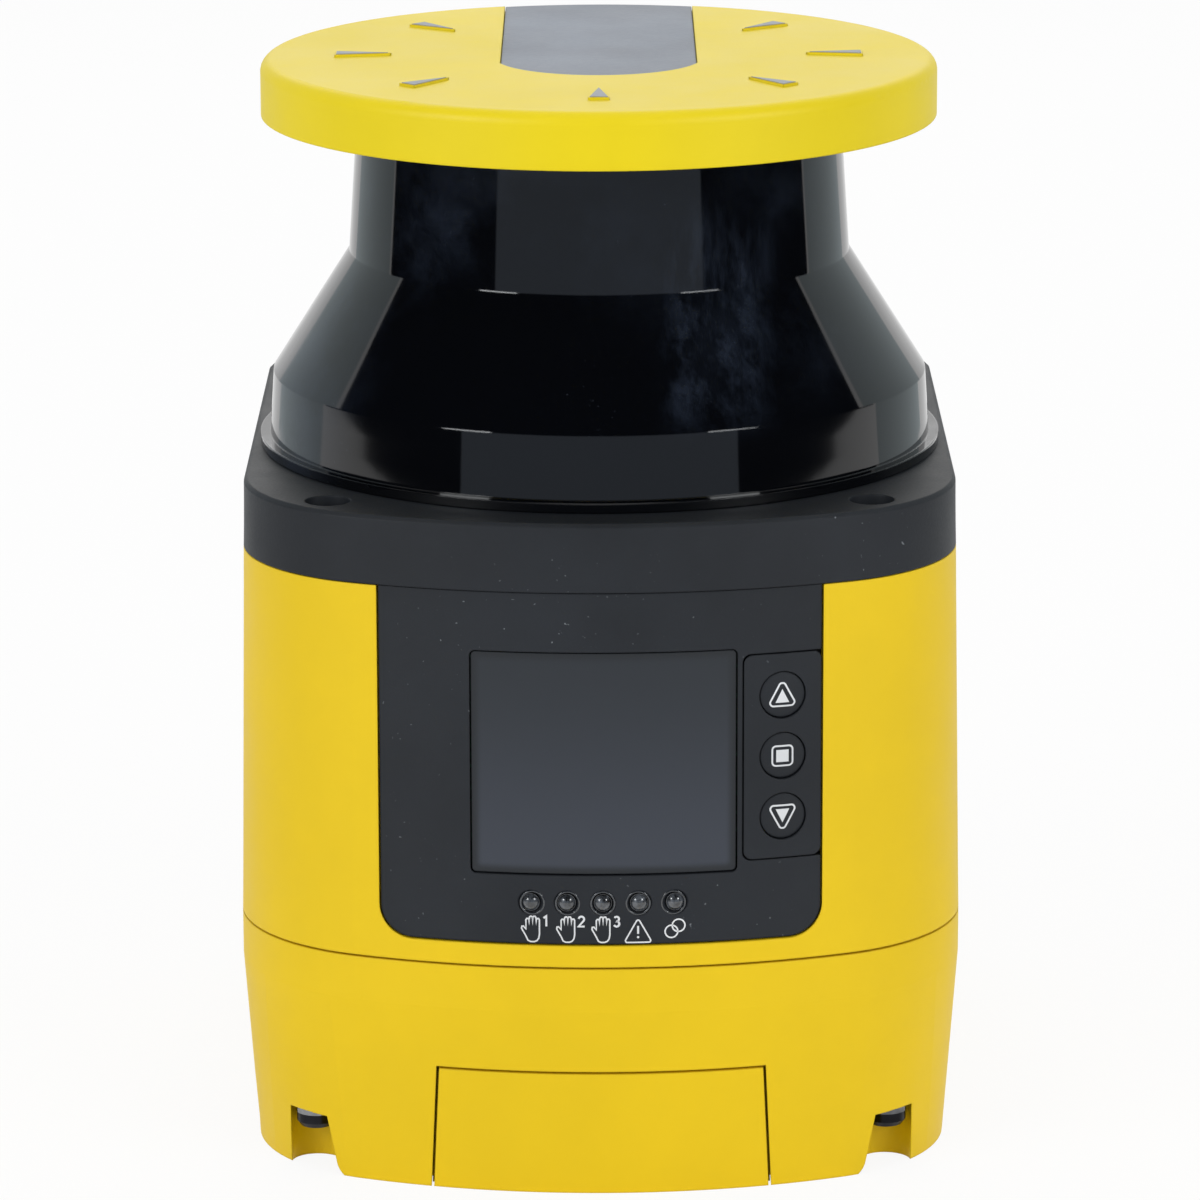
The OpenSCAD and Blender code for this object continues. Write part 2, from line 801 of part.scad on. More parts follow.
module lamp_places() {
  for (i = [0 : lamp_count - 1])
    on_front(lamp_x + (i - (lamp_count - 1) / 2) * lamp_pitch, lamp_cz, panel_inset) children();
}

module key_strip() {
  color(dark_colour) difference() {
    intersection() {
      difference() {
        body_block(seam_height, ring_foot, panel_inset - 0.05);
        body_block(seam_height - overcut, ring_foot + overcut, panel_inset + strip_depth - 0.05);
      }
      front_prism(front_reach) strip_shape(0, strip_right);
    }
    key_places() peg(key_radius + key_gap, -2, panel_back + 2);
  }
}

module key_body(k) {
  on_front(key_x, key_cz + k * key_pitch, panel_inset) union() {
    intersection() {
      peg(key_radius, -key_rise, key_length);
      translate([0, key_dome_r - key_rise, 0]) sphere(r = key_dome_r);
    }
    peg(key_flange_r, key_length - key_rise, key_back);
  }
}

module key_up() {
  color(dark_colour) key_body(1);
}

module key_select() {
  color(dark_colour) key_body(0);
}

module key_down() {
  color(dark_colour) key_body(-1);
}

module key_board() {
  color(board_colour) on_front(key_x, key_cz, panel_inset)
    translate([-3.8, key_board_at, -key_pitch - 5]) cube([7.6, 1.2, 2 * key_pitch + 10]);
}

module key_switches() {
  face = key_board_at - seat_gap;
  color(chip_colour) key_places() union() {
    translate([-switch_side / 2, face - switch_h, -switch_side / 2])
      cube([switch_side, switch_h, switch_side]);
    peg(plunger_r, face - switch_h - plunger_h, face - switch_h + 0.5);
  }
}

module display_window() {
  w = screen_width / 2 - glass_gap;
  h = screen_height / 2 - glass_gap;
  color(grey_colour) intersection() {
    difference() {
      body_block(seam_height, ring_foot, panel_inset + 0.3);
      body_block(seam_height - overcut, ring_foot + overcut, panel_back - 0.2);
    }
    front_prism(front_reach) rounded_box(screen_x - w, screen_x + w, screen_cz - h, screen_cz + h, 0.6);
  }
}

module lcd_module() {
  w = screen_width - 2;
  h = screen_height - 2;
  color(steel_colour) translate([screen_x - w / 2, lcd_front, screen_cz - h / 2])
    cube([w, lcd_depth, h]);
}

module hmi_board() {
  foot = opening_foot + 0.3;
  color(board_colour) difference() {
    translate([opening_left + 1, hmi_front, foot])
      cube([strip_left - 1.4 - opening_left, board_t, opening_top - foot - 0.6]);
    for (z = [foot + 3, opening_top - 3.4])
      translate([opening_left + 4, hmi_front + 1, z]) peg(1.3, -3, 3);
  }
}

module lamp_lenses() {
  color(grey_colour) lamp_places() union() {
    peg(lamp_radius, 0.25, 5);
    intersection() {
      translate([0, 0.25 + 0.6, 0]) sphere(r = sqrt(pow(lamp_radius - 0.06, 2) + 0.36), $fn = 48);
      peg(lamp_radius, -1.2, 0.3);
    }
  }
}

module lamp_chips() {
  color(grey_colour) for (i = [0 : lamp_count - 1])
    translate([lamp_x + (i - (lamp_count - 1) / 2) * lamp_pitch - 1, hmi_front - 0.82, lamp_cz - 0.6])
      cube([2, 0.8, 1.2]);
}

module upper_housing() {
  edge = 0.5;
  ring_bottom = ring_foot;
  color(dark_colour) difference() {
    union() {
      difference() {
        union() {
          body_block(ring_bottom, ring_top - edge, 0);
          leaning(ring_top - edge, ring_top, lean(ring_top - edge), lean(ring_top) + edge);
        }
        translate([0, 0, ring_bottom - overcut])
          linear_extrude(height = ring_cavity_top - ring_bottom + overcut) outline(wall);
      }
      // spigot that centres the ring in the body shell
      difference() {
        translate([0, 0, ring_bottom - spigot_drop])
          linear_extrude(height = ring_cavity_top - ring_bottom + spigot_drop) difference() {
            outline(wall + fixed_clearance + 0.1);
            outline(wall + 2);
          }
        ring_screw_places() translate([0, 0, ring_bottom - spigot_drop - overcut])
          cylinder(h = spigot_drop + overcut, r = boss_r + boss_bite + 0.3, $fn = 64);
        // room for the shell's rear corner blocks
        for (s = [-1, 1]) translate([s * rear_screw_x, rear_screw_y, ring_bottom - spigot_drop - overcut])
          mirror([s > 0 ? 0 : 1, 0, 0]) translate([0.2 - boss_r, 0.2 - boss_r, 0])
            cube([far, far, spigot_drop + overcut]);
        translate([opening_left - 4, front_y, ring_bottom - spigot_drop - overcut])
          cube([opening_right - opening_left + 8, 20, spigot_drop + overcut]);
      }
      intersection() {
        translate([0, 0, ring_bottom]) linear_extrude(height = ring_height - 1) outline(wall - 1);
        ring_screw_places() translate([0, 0, ring_bottom])
          cylinder(h = ring_height - 1, r = boss_r + boss_bite, $fn = 64);
      }
      // rear column that carries the cap
      at_axis() intersection() {
        tube(column_r, column_in_r, ring_top - 1, cap_foot);
        rear_sector(0.15, ring_top - 1, cap_foot);
      }
    }
    at_axis() difference() {
      translate([0, 0, ring_cavity_top - overcut])
        cylinder(h = ring_plate + overcut, r = opening_r);
      rear_sector(0.15, ring_cavity_top - 2 * overcut, ring_top + overcut);
    }
    at_axis() translate([0, 0, ring_cavity_top - overcut])
      cylinder(h = ring_plate + 2 * overcut, r = column_in_r + 6);
    // cable channel through the column
    at_axis() translate([-9, 31, ring_cavity_top - overcut]) cube([18, 8, far]);
    ring_screw_places() translate([0, 0, ring_top - ring_bore_depth])
      cylinder(h = ring_bore_depth + overcut, r = ring_bore_r, $fn = 48);
    ring_screw_places() translate([0, 0, ring_bottom - overcut])
      cylinder(h = ring_height, r = screw_hole_r, $fn = 32);
    cap_screw_places() translate([0, 0, cap_foot - 10])
      cylinder(h = 11, r = 1.5 + screw_clearance, $fn = 32);
    at_axis() difference() {
      tube(seal_outer, seal_inner, ring_top - seal_h, ring_top + overcut);
      rear_sector(-0.3, ring_top - 2, ring_top + 2);
    }
    bracket_screw_places() translate([0, 0, ring_cavity_top - overcut])
      cylinder(h = 1.8 + overcut, r = 1.25 + screw_clearance, $fn = 32);
  }
}

module cap_screw_places() {
  for (s = [-1, 1]) translate([s * 11, axis_y + 34.5, 0]) children();
}

module bracket_screw_places() {
  for (a = [30, 150, 270]) at_axis() rotate([0, 0, a + 180]) translate([0, -post_at, 0])
    children();
}

module window_gasket() {
  color(rubber_colour) at_axis() difference() {
    tube(seal_outer - 0.1, seal_inner + 0.1, ring_top - seal_h + 0.05, ring_top + 0.08);
    rear_sector(-0.4, ring_top - 2, ring_top + 2);
  }
}

module optical_window() {
  color(glossy_colour) at_axis() difference() {
    rotate_extrude() polygon([
      [flange_radius, flange_foot], [flange_radius, flange_top], [band_foot_radius, flange_top],
      [band_top_radius, band_top], [neck_radius, cone_top], [neck_top_radius, cap_foot],
      [neck_top_radius, window_lip], [neck_top_radius - window_in, window_lip],
      [neck_top_radius - window_in, cap_foot], [neck_radius - window_in, cone_top - 0.6],
      [band_top_radius - window_in, band_top - 0.6],
      [band_foot_radius - window_in, flange_top], [band_foot_radius - window_in - 1.4, flange_foot]]);
    rear_sector(0, flange_foot - overcut, window_lip + overcut);
  }
}

module window_top_gasket() {
  color(rubber_colour) at_axis() difference() {
    tube(neck_top_radius - 0.2, neck_top_radius - window_in + 0.2,
      window_lip + 0.02, cap_foot + groove_depth - 0.02);
    rear_sector(0, cap_foot, cap_top);
  }
}

module cap_profile() {
  r = cap_rim_radius;
  union() {
    square([cap_radius, cap_height - r]);
    square([cap_radius - r, cap_height]);
    translate([cap_radius - r, cap_height - r]) circle(r = r, $fn = 64);
  }
}

module top_cap() {
  color(housing_colour) difference() {
    union() {
      at_axis() translate([0, 0, cap_foot]) rotate_extrude() cap_profile();
      at_axis() mark_places() mark_body(cap_top - 0.2, cap_top + mark_rise - 0.12, 0.25);
    }
    // seat of the grey insert
    at_axis() translate([0, 0, insert_floor]) linear_extrude(height = far)
      insert_shape(0, far);
    at_axis() {
      translate([0, 0, cap_foot - overcut])
        cylinder(h = cap_cavity_top - cap_foot + overcut, r = cap_cavity_r);
      tube(neck_top_radius + 0.15, neck_top_radius - window_in - 0.15,
        cap_foot - overcut, cap_foot + groove_depth);
      difference() {
        tube(pocket_out_r, pocket_in_r, cap_foot - overcut, cap_top - cap_web);
        rear_sector(-4, cap_foot - 2 * overcut, cap_top);
      }
    }
    cap_screw_places() {
      translate([0, 0, cap_foot - overcut]) cylinder(h = far, r = 1.5 + screw_clearance, $fn = 32);
      translate([0, 0, insert_floor - 2.2]) cylinder(h = far, r = 2.9, $fn = 48);
    }
  }
}

module insert_shape(g, rear) {
  w = insert_width / 2 - g;
  intersection() {
    union() {
      translate([0, -insert_centre_forward]) circle(r = insert_end_radius - g);
      translate([-w, -insert_centre_forward]) square([2 * w, rear]);
    }
    translate([-w, -far]) square([2 * w, 2 * far]);
  }
}

module cap_insert() {
  color(grey_colour) at_axis() intersection() {
    translate([0, 0, insert_floor + 0.02]) linear_extrude(height = insert_thickness - 0.22)
      insert_shape(0.12, far);
    translate([0, 0, cap_foot]) rotate_extrude() cap_profile();
  }
}

module mark_places() {
  for (a = [-135, -90, -45, 0, 45, 90, 135]) rotate([0, 0, a]) children();
}

module mark_body(z0, z1, g) {
  translate([0, 0, z0]) linear_extrude(height = z1 - z0)
    polygon([[-mark_width / 2 - g, -mark_outer - g], [mark_width / 2 + g, -mark_outer - g],
      [0, -mark_outer + mark_length + 2 * g]]);
}

module cap_marks() {
  color(grey_colour) at_axis() mark_places() mark_body(cap_top + mark_rise - 0.12,
    cap_top + mark_rise, 0);
}

module cap_screws() {
  color(steel_colour) cap_screw_places() difference() {
    union() {
      translate([0, 0, insert_floor - 2.15]) cylinder(h = 2, r = 2.75, $fn = 48);
      translate([0, 0, cap_foot - 8.5]) cylinder(h = insert_floor - cap_foot + 7, r = 1.5, $fn = 32);
    }
    translate([0, 0, insert_floor - 1.35]) cylinder(h = 3, r = 1.3, $fn = 6);
  }
}

module corner_screw() {
  foot = notch_ceiling - washer_h - corner_head_h;
  difference() {
    union() {
      translate([0, 0, foot]) cylinder(h = corner_head_h * 0.35, r1 = head_r * 0.82, r2 = head_r);
      translate([0, 0, foot + corner_head_h * 0.35]) cylinder(h = corner_head_h * 0.65, r = head_r);
      translate([0, 0, foot + corner_head_h]) cylinder(
        h = shell_foot + screw_bite - 2 - foot - corner_head_h, r = screw_r, $fn = 32);
    }
    translate([0, 0, foot - overcut]) cylinder(h = corner_head_h * 0.55 + overcut, r = socket_r, $fn = 6);
  }
}

module corner_screws() {
  color(chip_colour) {
    front_screw_places() corner_screw();
    rear_screw_places() corner_screw();
  }
}

module corner_washers() {
  color(steel_colour) {
    front_screw_places() tube(washer_r, screw_hole_r, notch_ceiling - washer_h, notch_ceiling);
    rear_screw_places() tube(washer_r, screw_hole_r, notch_ceiling - washer_h, notch_ceiling);
  }
}

module ring_screws() {
  seat = ring_top - ring_bore_depth;
  color(chip_colour) ring_screw_places() difference() {
    union() {
      translate([0, 0, seat]) cylinder(h = head_h, r = head_r, $fn = 48);
      translate([0, 0, ring_foot - 0.15 - screw_bite + 2])
        cylinder(h = seat - ring_foot + 0.15 + screw_bite - 1, r = screw_r, $fn = 32);
    }
    translate([0, 0, seat + head_h * 0.45]) cylinder(h = head_h, r = socket_r, $fn = 6);
  }
}

module motor_bracket() {
  color(steel_colour) at_axis() difference() {
    union() {
      translate([0, 0, bracket_foot]) cylinder(h = bracket_t, r = bracket_r);
      translate([0, 0, bracket_foot]) cylinder(h = bracket_boss_top - bracket_foot,
        r = bracket_boss_r);
      for (a = [30, 150, 270]) rotate([0, 0, a + 180]) translate([0, -post_at, bracket_foot])
        cylinder(h = ring_cavity_top - bracket_foot, r = post_r, $fn = 48);
    }
    translate([0, 0, bracket_foot - overcut])
      cylinder(h = bearing_h + 0.2 + overcut, r = bearing_r + fixed_clearance / 2);
    translate([0, 0, bracket_foot]) cylinder(h = far, r = shaft_radius + 0.6, $fn = 48);
    for (a = [30, 150, 270]) rotate([0, 0, a + 180]) translate([0, -post_at, bracket_foot - overcut])
      cylinder(h = far, r = 1.25 + screw_clearance, $fn = 32);
  }
}

module bracket_screws() {
  color(steel_colour) bracket_screw_places() union() {
    translate([0, 0, bracket_foot - 1.6]) cylinder(h = 1.6, r = 2.4, $fn = 48);
    translate([0, 0, bracket_foot - 0.4]) cylinder(h = ring_cavity_top + 1.4 - bracket_foot,
      r = 1.25, $fn = 32);
  }
}

module motor_can() {
  color(steel_colour) at_axis() difference() {
    translate([0, 0, motor_foot]) cylinder(h = motor_h, r = motor_radius);
    translate([0, 0, motor_foot + motor_floor])
      cylinder(h = far, r = motor_radius - motor_wall);
    translate([0, 0, motor_foot + motor_floor - bearing_h])
      cylinder(h = far, r = bearing_r + fixed_clearance / 2);
  }
}

module motor_bearings() {
  color(steel_colour) at_axis() {
    tube(bearing_r, shaft_radius + running_clearance, motor_foot + motor_floor - bearing_h,
      motor_foot + motor_floor);
    tube(bearing_r, shaft_radius + running_clearance, bracket_foot + 0.05,
      bracket_foot + bearing_h);
  }
}

module motor_stator() {
  color(brass_colour) at_axis() difference() {
    tube(stator_r, magnet_r + air_gap, stator_z, stator_z + stator_h);
    for (a = [0 : 60 : 300]) rotate([0, 0, a])
      translate([magnet_r - 1, -1, stator_z - overcut]) cube([5, 2, stator_h + 2 * overcut]);
  }
}

module motor_magnet() {
  color(chip_colour) at_axis() tube(magnet_r, shaft_radius + 0.02, stator_z + 0.5,
    stator_z + stator_h - 0.5);
}

module rotor_shaft() {
  color(steel_colour) at_axis() translate([0, 0, motor_foot + motor_floor - bearing_h + 0.2])
    cylinder(h = shaft_top - motor_foot - motor_floor + bearing_h - 0.2, r = shaft_radius);
}

// upright cylinder kept only below a plane that leans at 45 degrees through the mirror centre
module below_mirror(r, z0, drop) {
  k = 4 * r;
  intersection() {
    translate([0, 0, z0]) cylinder(h = mirror_cz + 2 * r - z0, r = r);
    translate([0, 0, mirror_cz - drop]) rotate([45, 0, 0]) translate([-k / 2, -k / 2, -k])
      cube([k, k, k]);
  }
}

module mirror_carrier() {
  t = mirror_t * sqrt(2) + 0.05;
  color(dark_colour) at_axis() difference() {
    union() {
      below_mirror(carrier_r, carrier_foot + 1, t);
      translate([0, 0, carrier_foot + 0.02]) cylinder(h = 3, r = carrier_r - 2);
    }
    translate([0, 0, carrier_foot - overcut])
      cylinder(h = shaft_top - carrier_foot + 0.2 + overcut, r = shaft_radius + 0.02);
  }
}

module scan_mirror() {
  color(steel_colour) at_axis() difference() {
    below_mirror(mirror_radius, ring_top, 0);
    k = 4 * mirror_radius;
    translate([0, 0, mirror_cz - mirror_t * sqrt(2)]) rotate([45, 0, 0])
      translate([-k, -k, -2 * k]) cube([2 * k, 2 * k, 2 * k]);
  }
}

module encoder_disc() {
  color(steel_colour) at_axis() difference() {
    translate([0, 0, encoder_z]) cylinder(h = encoder_t, r = encoder_radius);
    translate([0, 0, encoder_z - overcut]) cylinder(h = 3, r = shaft_radius + 0.02);
    for (a = [0 : 15 : 345]) rotate([0, 0, a]) translate([encoder_radius - 3.5, -0.6,
      encoder_z - overcut]) cube([2.2, 1.2, 3]);
  }
}

module encoder_sensor() {
  z0 = bracket_foot + bracket_t + 0.02;
  color(chip_colour) at_axis() difference() {
    translate([encoder_radius - 4.5, -4, z0]) cube([9, 8, encoder_z + encoder_t + 3 - z0]);
    translate([encoder_radius - 6, -5, encoder_z - 1]) cube([7, 10, encoder_t + 2]);
  }
}

module optics_holder() {
  color(dark_colour) at_axis() difference() {
    union() {
      translate([0, 0, holder_foot]) cylinder(h = cap_cavity_top - holder_foot - 0.05, r = holder_r);
      translate([0, 0, cap_cavity_top - holder_flange_h])
        cylinder(h = holder_flange_h - 0.05, r = holder_flange_r);
    }
    translate([0, 0, holder_foot - overcut]) cylinder(h = far, r = holder_in_r - lens_ledge);
    translate([0, 0, holder_foot + 1]) cylinder(h = far, r = holder_in_r);
  }
}

module receiver_lens() {
  big = lens_r * 1.6;
  edge = big - sqrt(pow(big, 2) - pow(lens_r, 2));
  color(grey_colour) at_axis() difference() {
    intersection() {
      translate([0, 0, holder_foot + 1.02]) cylinder(h = edge + 1, r = lens_r);
      translate([0, 0, holder_foot + 2.02 + edge - big]) sphere(r = big);
    }
    translate([0, 0, holder_foot]) cylinder(h = far, r = laser_r + 0.15, $fn = 48);
  }
}

module laser_module() {
  color(brass_colour) at_axis() translate([0, 0, holder_foot + 0.4])
    cylinder(h = cap_cavity_top - holder_foot - 2.6, r = laser_r, $fn = 48);
}

module detector_board() {
  color(board_colour) at_axis() translate([0, 0, cap_cavity_top - 2.1])
    cylinder(h = board_t, r = holder_in_r - 0.3);
}

module main_board() {
  color(board_colour) difference() {
    translate([-main_board_half, main_board_y, main_board_foot])
      cube([2 * main_board_half, board_t, main_board_h]);
    main_post_places() peg(1.5 + screw_clearance, -5, 5);
  }
}

module main_post_places() {
  for (s = [-1, 1], z = [main_board_foot + 5, main_board_foot + main_board_h - 5])
    translate([s * main_post_x, main_board_y, z]) children();
}

module main_board_posts() {
  color(brass_colour) main_post_places() difference() {
    union() {
      peg(main_post_r, board_t + 0.02, cavity_back_y - main_board_y - 0.02);
      peg(1.5, -2, board_t + 0.5);
      peg(2.7, -2, -0.02);
    }
    peg(0.9, -2 - overcut, -1);
  }
}

module main_board_parts() {
  front = main_board_y - 0.02;
  mid = main_board_foot + main_board_h / 2;
  color(chip_colour) {
    translate([-8, front - 1.8, mid - 8]) cube([16, 1.8, 16]);
    translate([-30, front - 1.4, mid - 12]) cube([12, 1.4, 10]);
    translate([-30, front - 1.4, mid + 4]) cube([12, 1.4, 8]);
    translate([16, front - 5.5, mid - 14]) cube([14, 5.5, 7]);
    for (k = [0, 1, 2]) translate([20 + 4.5 * k - 4, front, mid + 8]) peg(1.9, -6, 0);
  }
}

module power_board() {
  color(board_colour) difference() {
    translate([-power_half, power_front, power_board_z])
      cube([2 * power_half, power_back - power_front, board_t]);
    power_post_places() translate([0, 0, power_board_z - 1])
      cylinder(h = 5, r = 1.5 + screw_clearance, $fn = 32);
  }
}

module power_post_places() {
  for (s = [-1, 1], y = [power_front + 4, power_back - 4])
    translate([s * (power_half - 4), y, 0]) children();
}

module power_board_posts() {
  color(brass_colour) power_post_places() difference() {
    union() {
      translate([0, 0, floor_thickness + 0.02])
        cylinder(h = power_board_z - floor_thickness - 0.04, r = power_post_r, $fn = 48);
      translate([0, 0, power_board_z - 1]) cylinder(h = board_t + 3, r = 1.5, $fn = 32);
      translate([0, 0, power_board_z + board_t + 0.02]) cylinder(h = 2, r = 2.7, $fn = 48);
    }
    translate([0, 0, power_board_z + board_t + 1.2]) cylinder(h = 3, r = 0.9, $fn = 32);
  }
}

module power_board_parts() {
  z0 = power_board_z + board_t + 0.02;
  mid = (power_front + power_back) / 2;
  color(chip_colour) {
    translate([-22, mid - 8, z0]) cube([14, 14, 8]);
    translate([0, mid - 6, z0]) cube([10, 10, 2]);
    for (k = [0, 1]) translate([18 + 8 * k, mid - 2, z0]) cylinder(h = 9, r = 3.4, $fn = 48);
  }
}

module connector_places() {
  for (s = [-1, 1]) translate([s * connector_x, 0, connector_z]) children();
}

module connector_shells() {
  color(steel_colour) connector_places() difference() {
    union() {
      peg(connector_r, connector_rear, connector_tip);
      peg(connector_r + 2.2, recess_floor_y + 0.02, recess_floor_y + 2);
    }
    peg(shell_bore_r, connector_rear - overcut, connector_tip + overcut);
  }
}

module connector_nuts() {
  y1 = recess_floor_y - recess_wall - 0.02;
  color(steel_colour) connector_places() difference() {
    translate([0, y1, 0]) rotate([90, 0, 0]) cylinder(h = nut_h - 0.1, r = connector_r + 3.4, $fn = 6);
    peg(connector_r + 0.05, y1 - nut_h - overcut, y1 + overcut);
  }
}

module connector_inserts() {
  color(chip_colour) connector_places() difference() {
    peg(shell_bore_r - 0.03, connector_rear + 0.2, connector_insert_end);
    pin_places() peg(pin_r + 0.03, connector_insert_end - 6, connector_insert_end + overcut);
  }
}

module pin_places() {
  children();
  for (i = [0 : pin_count - 1]) rotate([0, i * 360 / pin_count, 0])
    translate([pin_circle, 0, 0]) children();
}

module connector_pins() {
  color(brass_colour) connector_places() pin_places()
    peg(pin_r, connector_insert_end - 5.9, connector_tip - 1.5);
}

base_housing();
memory_module();
module_board();
module_plug();
base_socket();
module_screws();
base_gasket();
body_shell();
display_panel();
display_window();
lcd_module();
hmi_board();
key_strip();
key_up();
key_select();
key_down();
key_board();
key_switches();
lamp_lenses();
lamp_chips();
upper_housing();
optical_window();
window_gasket();
window_top_gasket();
top_cap();
cap_insert();
cap_marks();
cap_screws();
corner_screws();
corner_washers();
ring_screws();
motor_can();
motor_stator();
motor_magnet();
motor_bearings();
motor_bracket();
bracket_screws();
rotor_shaft();
mirror_carrier();
scan_mirror();
encoder_disc();
encoder_sensor();
optics_holder();
receiver_lens();
laser_module();
detector_board();
main_board();
main_board_parts();
main_board_posts();
power_board();
power_board_parts();
power_board_posts();
connector_shells();
connector_inserts();
connector_pins();
connector_nuts();
mount_inserts();
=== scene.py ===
import json
import math

import bmesh
import bpy
from mathutils import Matrix, Vector
from mathutils.bvhtree import BVHTree


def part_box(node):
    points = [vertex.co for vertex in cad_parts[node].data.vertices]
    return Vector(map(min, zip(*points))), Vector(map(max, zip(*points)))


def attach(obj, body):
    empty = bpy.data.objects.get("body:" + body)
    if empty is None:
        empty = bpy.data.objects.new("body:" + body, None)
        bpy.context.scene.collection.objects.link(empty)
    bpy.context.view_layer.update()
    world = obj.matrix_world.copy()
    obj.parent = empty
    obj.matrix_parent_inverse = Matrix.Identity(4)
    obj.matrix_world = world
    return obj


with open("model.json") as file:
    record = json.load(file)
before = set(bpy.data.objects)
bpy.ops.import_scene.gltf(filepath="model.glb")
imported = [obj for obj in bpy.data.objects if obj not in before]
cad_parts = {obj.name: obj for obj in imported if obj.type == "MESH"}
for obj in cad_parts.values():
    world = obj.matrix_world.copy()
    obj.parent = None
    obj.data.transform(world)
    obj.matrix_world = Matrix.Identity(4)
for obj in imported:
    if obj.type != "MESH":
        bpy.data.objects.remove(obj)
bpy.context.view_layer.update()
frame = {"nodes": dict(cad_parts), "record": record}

bl_info = {
    "name": "Safety laser scanner dresser",
    "version": (1, 0, 0),
    "blender": (4, 5, 0),
    "location": "3D View > Sidebar > Scanner",
    "description": "Finishes, printed signs, threads and studio for a safety laser scanner",
    "category": "Object",
}

MM = 0.001
NODES = frame["nodes"]
HOUSING = "housing"
SCREEN_LOW, SCREEN_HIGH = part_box("display_window")
MARK_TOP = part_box("cap_marks")[1].z
PRINT_RISE = 0.03 * MM      # how far a printed sign stands out of its surface, and sinks in
PRINT_STEP = 0.3 * MM       # longest piece of a printed line
FRONT_SIDE = 0.6 * MM       # depth of a key that counts as its front face
LAMP_GAP = 1.2 * MM         # shortest free space between two lamps
RIM_WIRE = 0.16 * MM        # radius of the rim's wire round a lamp
INSERT_TURNS, INSERT_WIRE = 7, 0.16 * MM
THREAD_TURNS, THREAD_WIRE = 8, 0.32 * MM


def linear(red, green, blue):
    """A display colour, 0 to 255, as a linear colour."""
    def one(value):
        value /= 255
        return value / 12.92 if value <= 0.04045 else ((value + 0.055) / 1.055) ** 2.4
    return (one(red), one(green), one(blue), 1.0)


# ---------------------------------------------------------------- node graphs

class Value:
    """A number socket that Python's operators turn into Math nodes."""

    def __init__(self, graph, socket):
        self.graph, self.socket = graph, socket

    def calc(self, operation, *terms):
        made = self.graph.node("ShaderNodeMath", {"operation": operation}, dict(enumerate(terms)))
        return Value(self.graph, made.outputs[0])

    def __add__(self, other): return self.calc("ADD", self, other)
    def __radd__(self, other): return self.calc("ADD", other, self)
    def __sub__(self, other): return self.calc("SUBTRACT", self, other)
    def __rsub__(self, other): return self.calc("SUBTRACT", other, self)
    def __mul__(self, other): return self.calc("MULTIPLY", self, other)
    def __rmul__(self, other): return self.calc("MULTIPLY", other, self)
    def __truediv__(self, other): return self.calc("DIVIDE", self, other)
    def __rtruediv__(self, other): return self.calc("DIVIDE", other, self)
    def __gt__(self, other): return self.calc("GREATER_THAN", self, other)
    def __lt__(self, other): return self.calc("LESS_THAN", self, other)
    def largest(self, other): return self.calc("MAXIMUM", self, other)
    def absolute(self): return self.calc("ABSOLUTE", self)


class Graph:
    """Adds nodes to a shader or geometry tree."""

    def __init__(self, tree):
        self.tree = tree

    def node(self, kind, settings=None, inputs=None):
        made = self.tree.nodes.new(kind)
        for key, value in (settings or {}).items():
            setattr(made, key, value)
        for key, value in (inputs or {}).items():
            self.feed(made.inputs[key], value)
        return made

    def feed(self, socket, value):
        """Links a socket, or sets it to a constant."""
        if isinstance(value, Value):
            value = value.socket
        if isinstance(value, bpy.types.NodeSocket):
            self.tree.links.new(value, socket)
        else:
            socket.default_value = value

    def out(self, kind, output, settings=None, inputs=None):
        return self.node(kind, settings, inputs).outputs[output]

    def value(self, *args):
        return Value(self, self.out(*args))


class Finish(Graph):
    """A Principled material on Object coordinates."""

    def __init__(self, name):
        self.material = bpy.data.materials.new(name)
        self.material.use_nodes = True
        super().__init__(self.material.node_tree)
        self.tree.nodes.clear()
        self.place = self.out("ShaderNodeTexCoord", "Object")
        self.shader = self.node("ShaderNodeBsdfPrincipled")
        self.output = self.node("ShaderNodeOutputMaterial", {},
                                {"Surface": self.shader.outputs[0]})

    def noise(self, scale, detail=4.0, rough=0.55):
        return self.value("ShaderNodeTexNoise", "Fac", {},
                          {"Vector": self.place, "Scale": scale, "Detail": detail,
                           "Roughness": rough})

    def axis(self, name):
        return self.value("ShaderNodeSeparateXYZ", name, {}, {"Vector": self.place})

    def blend(self, factor, low, high):
        made = self.node("ShaderNodeMix", {"data_type": "RGBA"}, {0: factor, 6: low, 7: high})
        return made.outputs[2]

    def ramp(self, factor, start, end):
        made = self.node("ShaderNodeMapRange", {"interpolation_type": "SMOOTHSTEP"},
                         {"Value": factor, "From Min": start, "From Max": end})
        return Value(self, made.outputs[0])

    def relief(self, height, strength, distance, edge=0.0):
        inputs = {"Height": height, "Strength": strength, "Distance": distance}
        if edge:
            inputs["Normal"] = self.out("ShaderNodeBevel", "Normal", {"samples": 4},
                                        {"Radius": edge})
        return self.out("ShaderNodeBump", "Normal", {}, inputs)

    def set(self, **sockets):
        for key, value in sockets.items():
            self.feed(self.shader.inputs[key.replace("_", " ")], value)
        return self.material

    def glow(self, colour, strength):
        return self.out("ShaderNodeEmission", 0, {}, {"Color": colour, "Strength": strength})


def deeper(colour, share):
    """The darker tone of a colour's clouds."""
    return tuple(part * share for part in colour[:3]) + (1.0,)


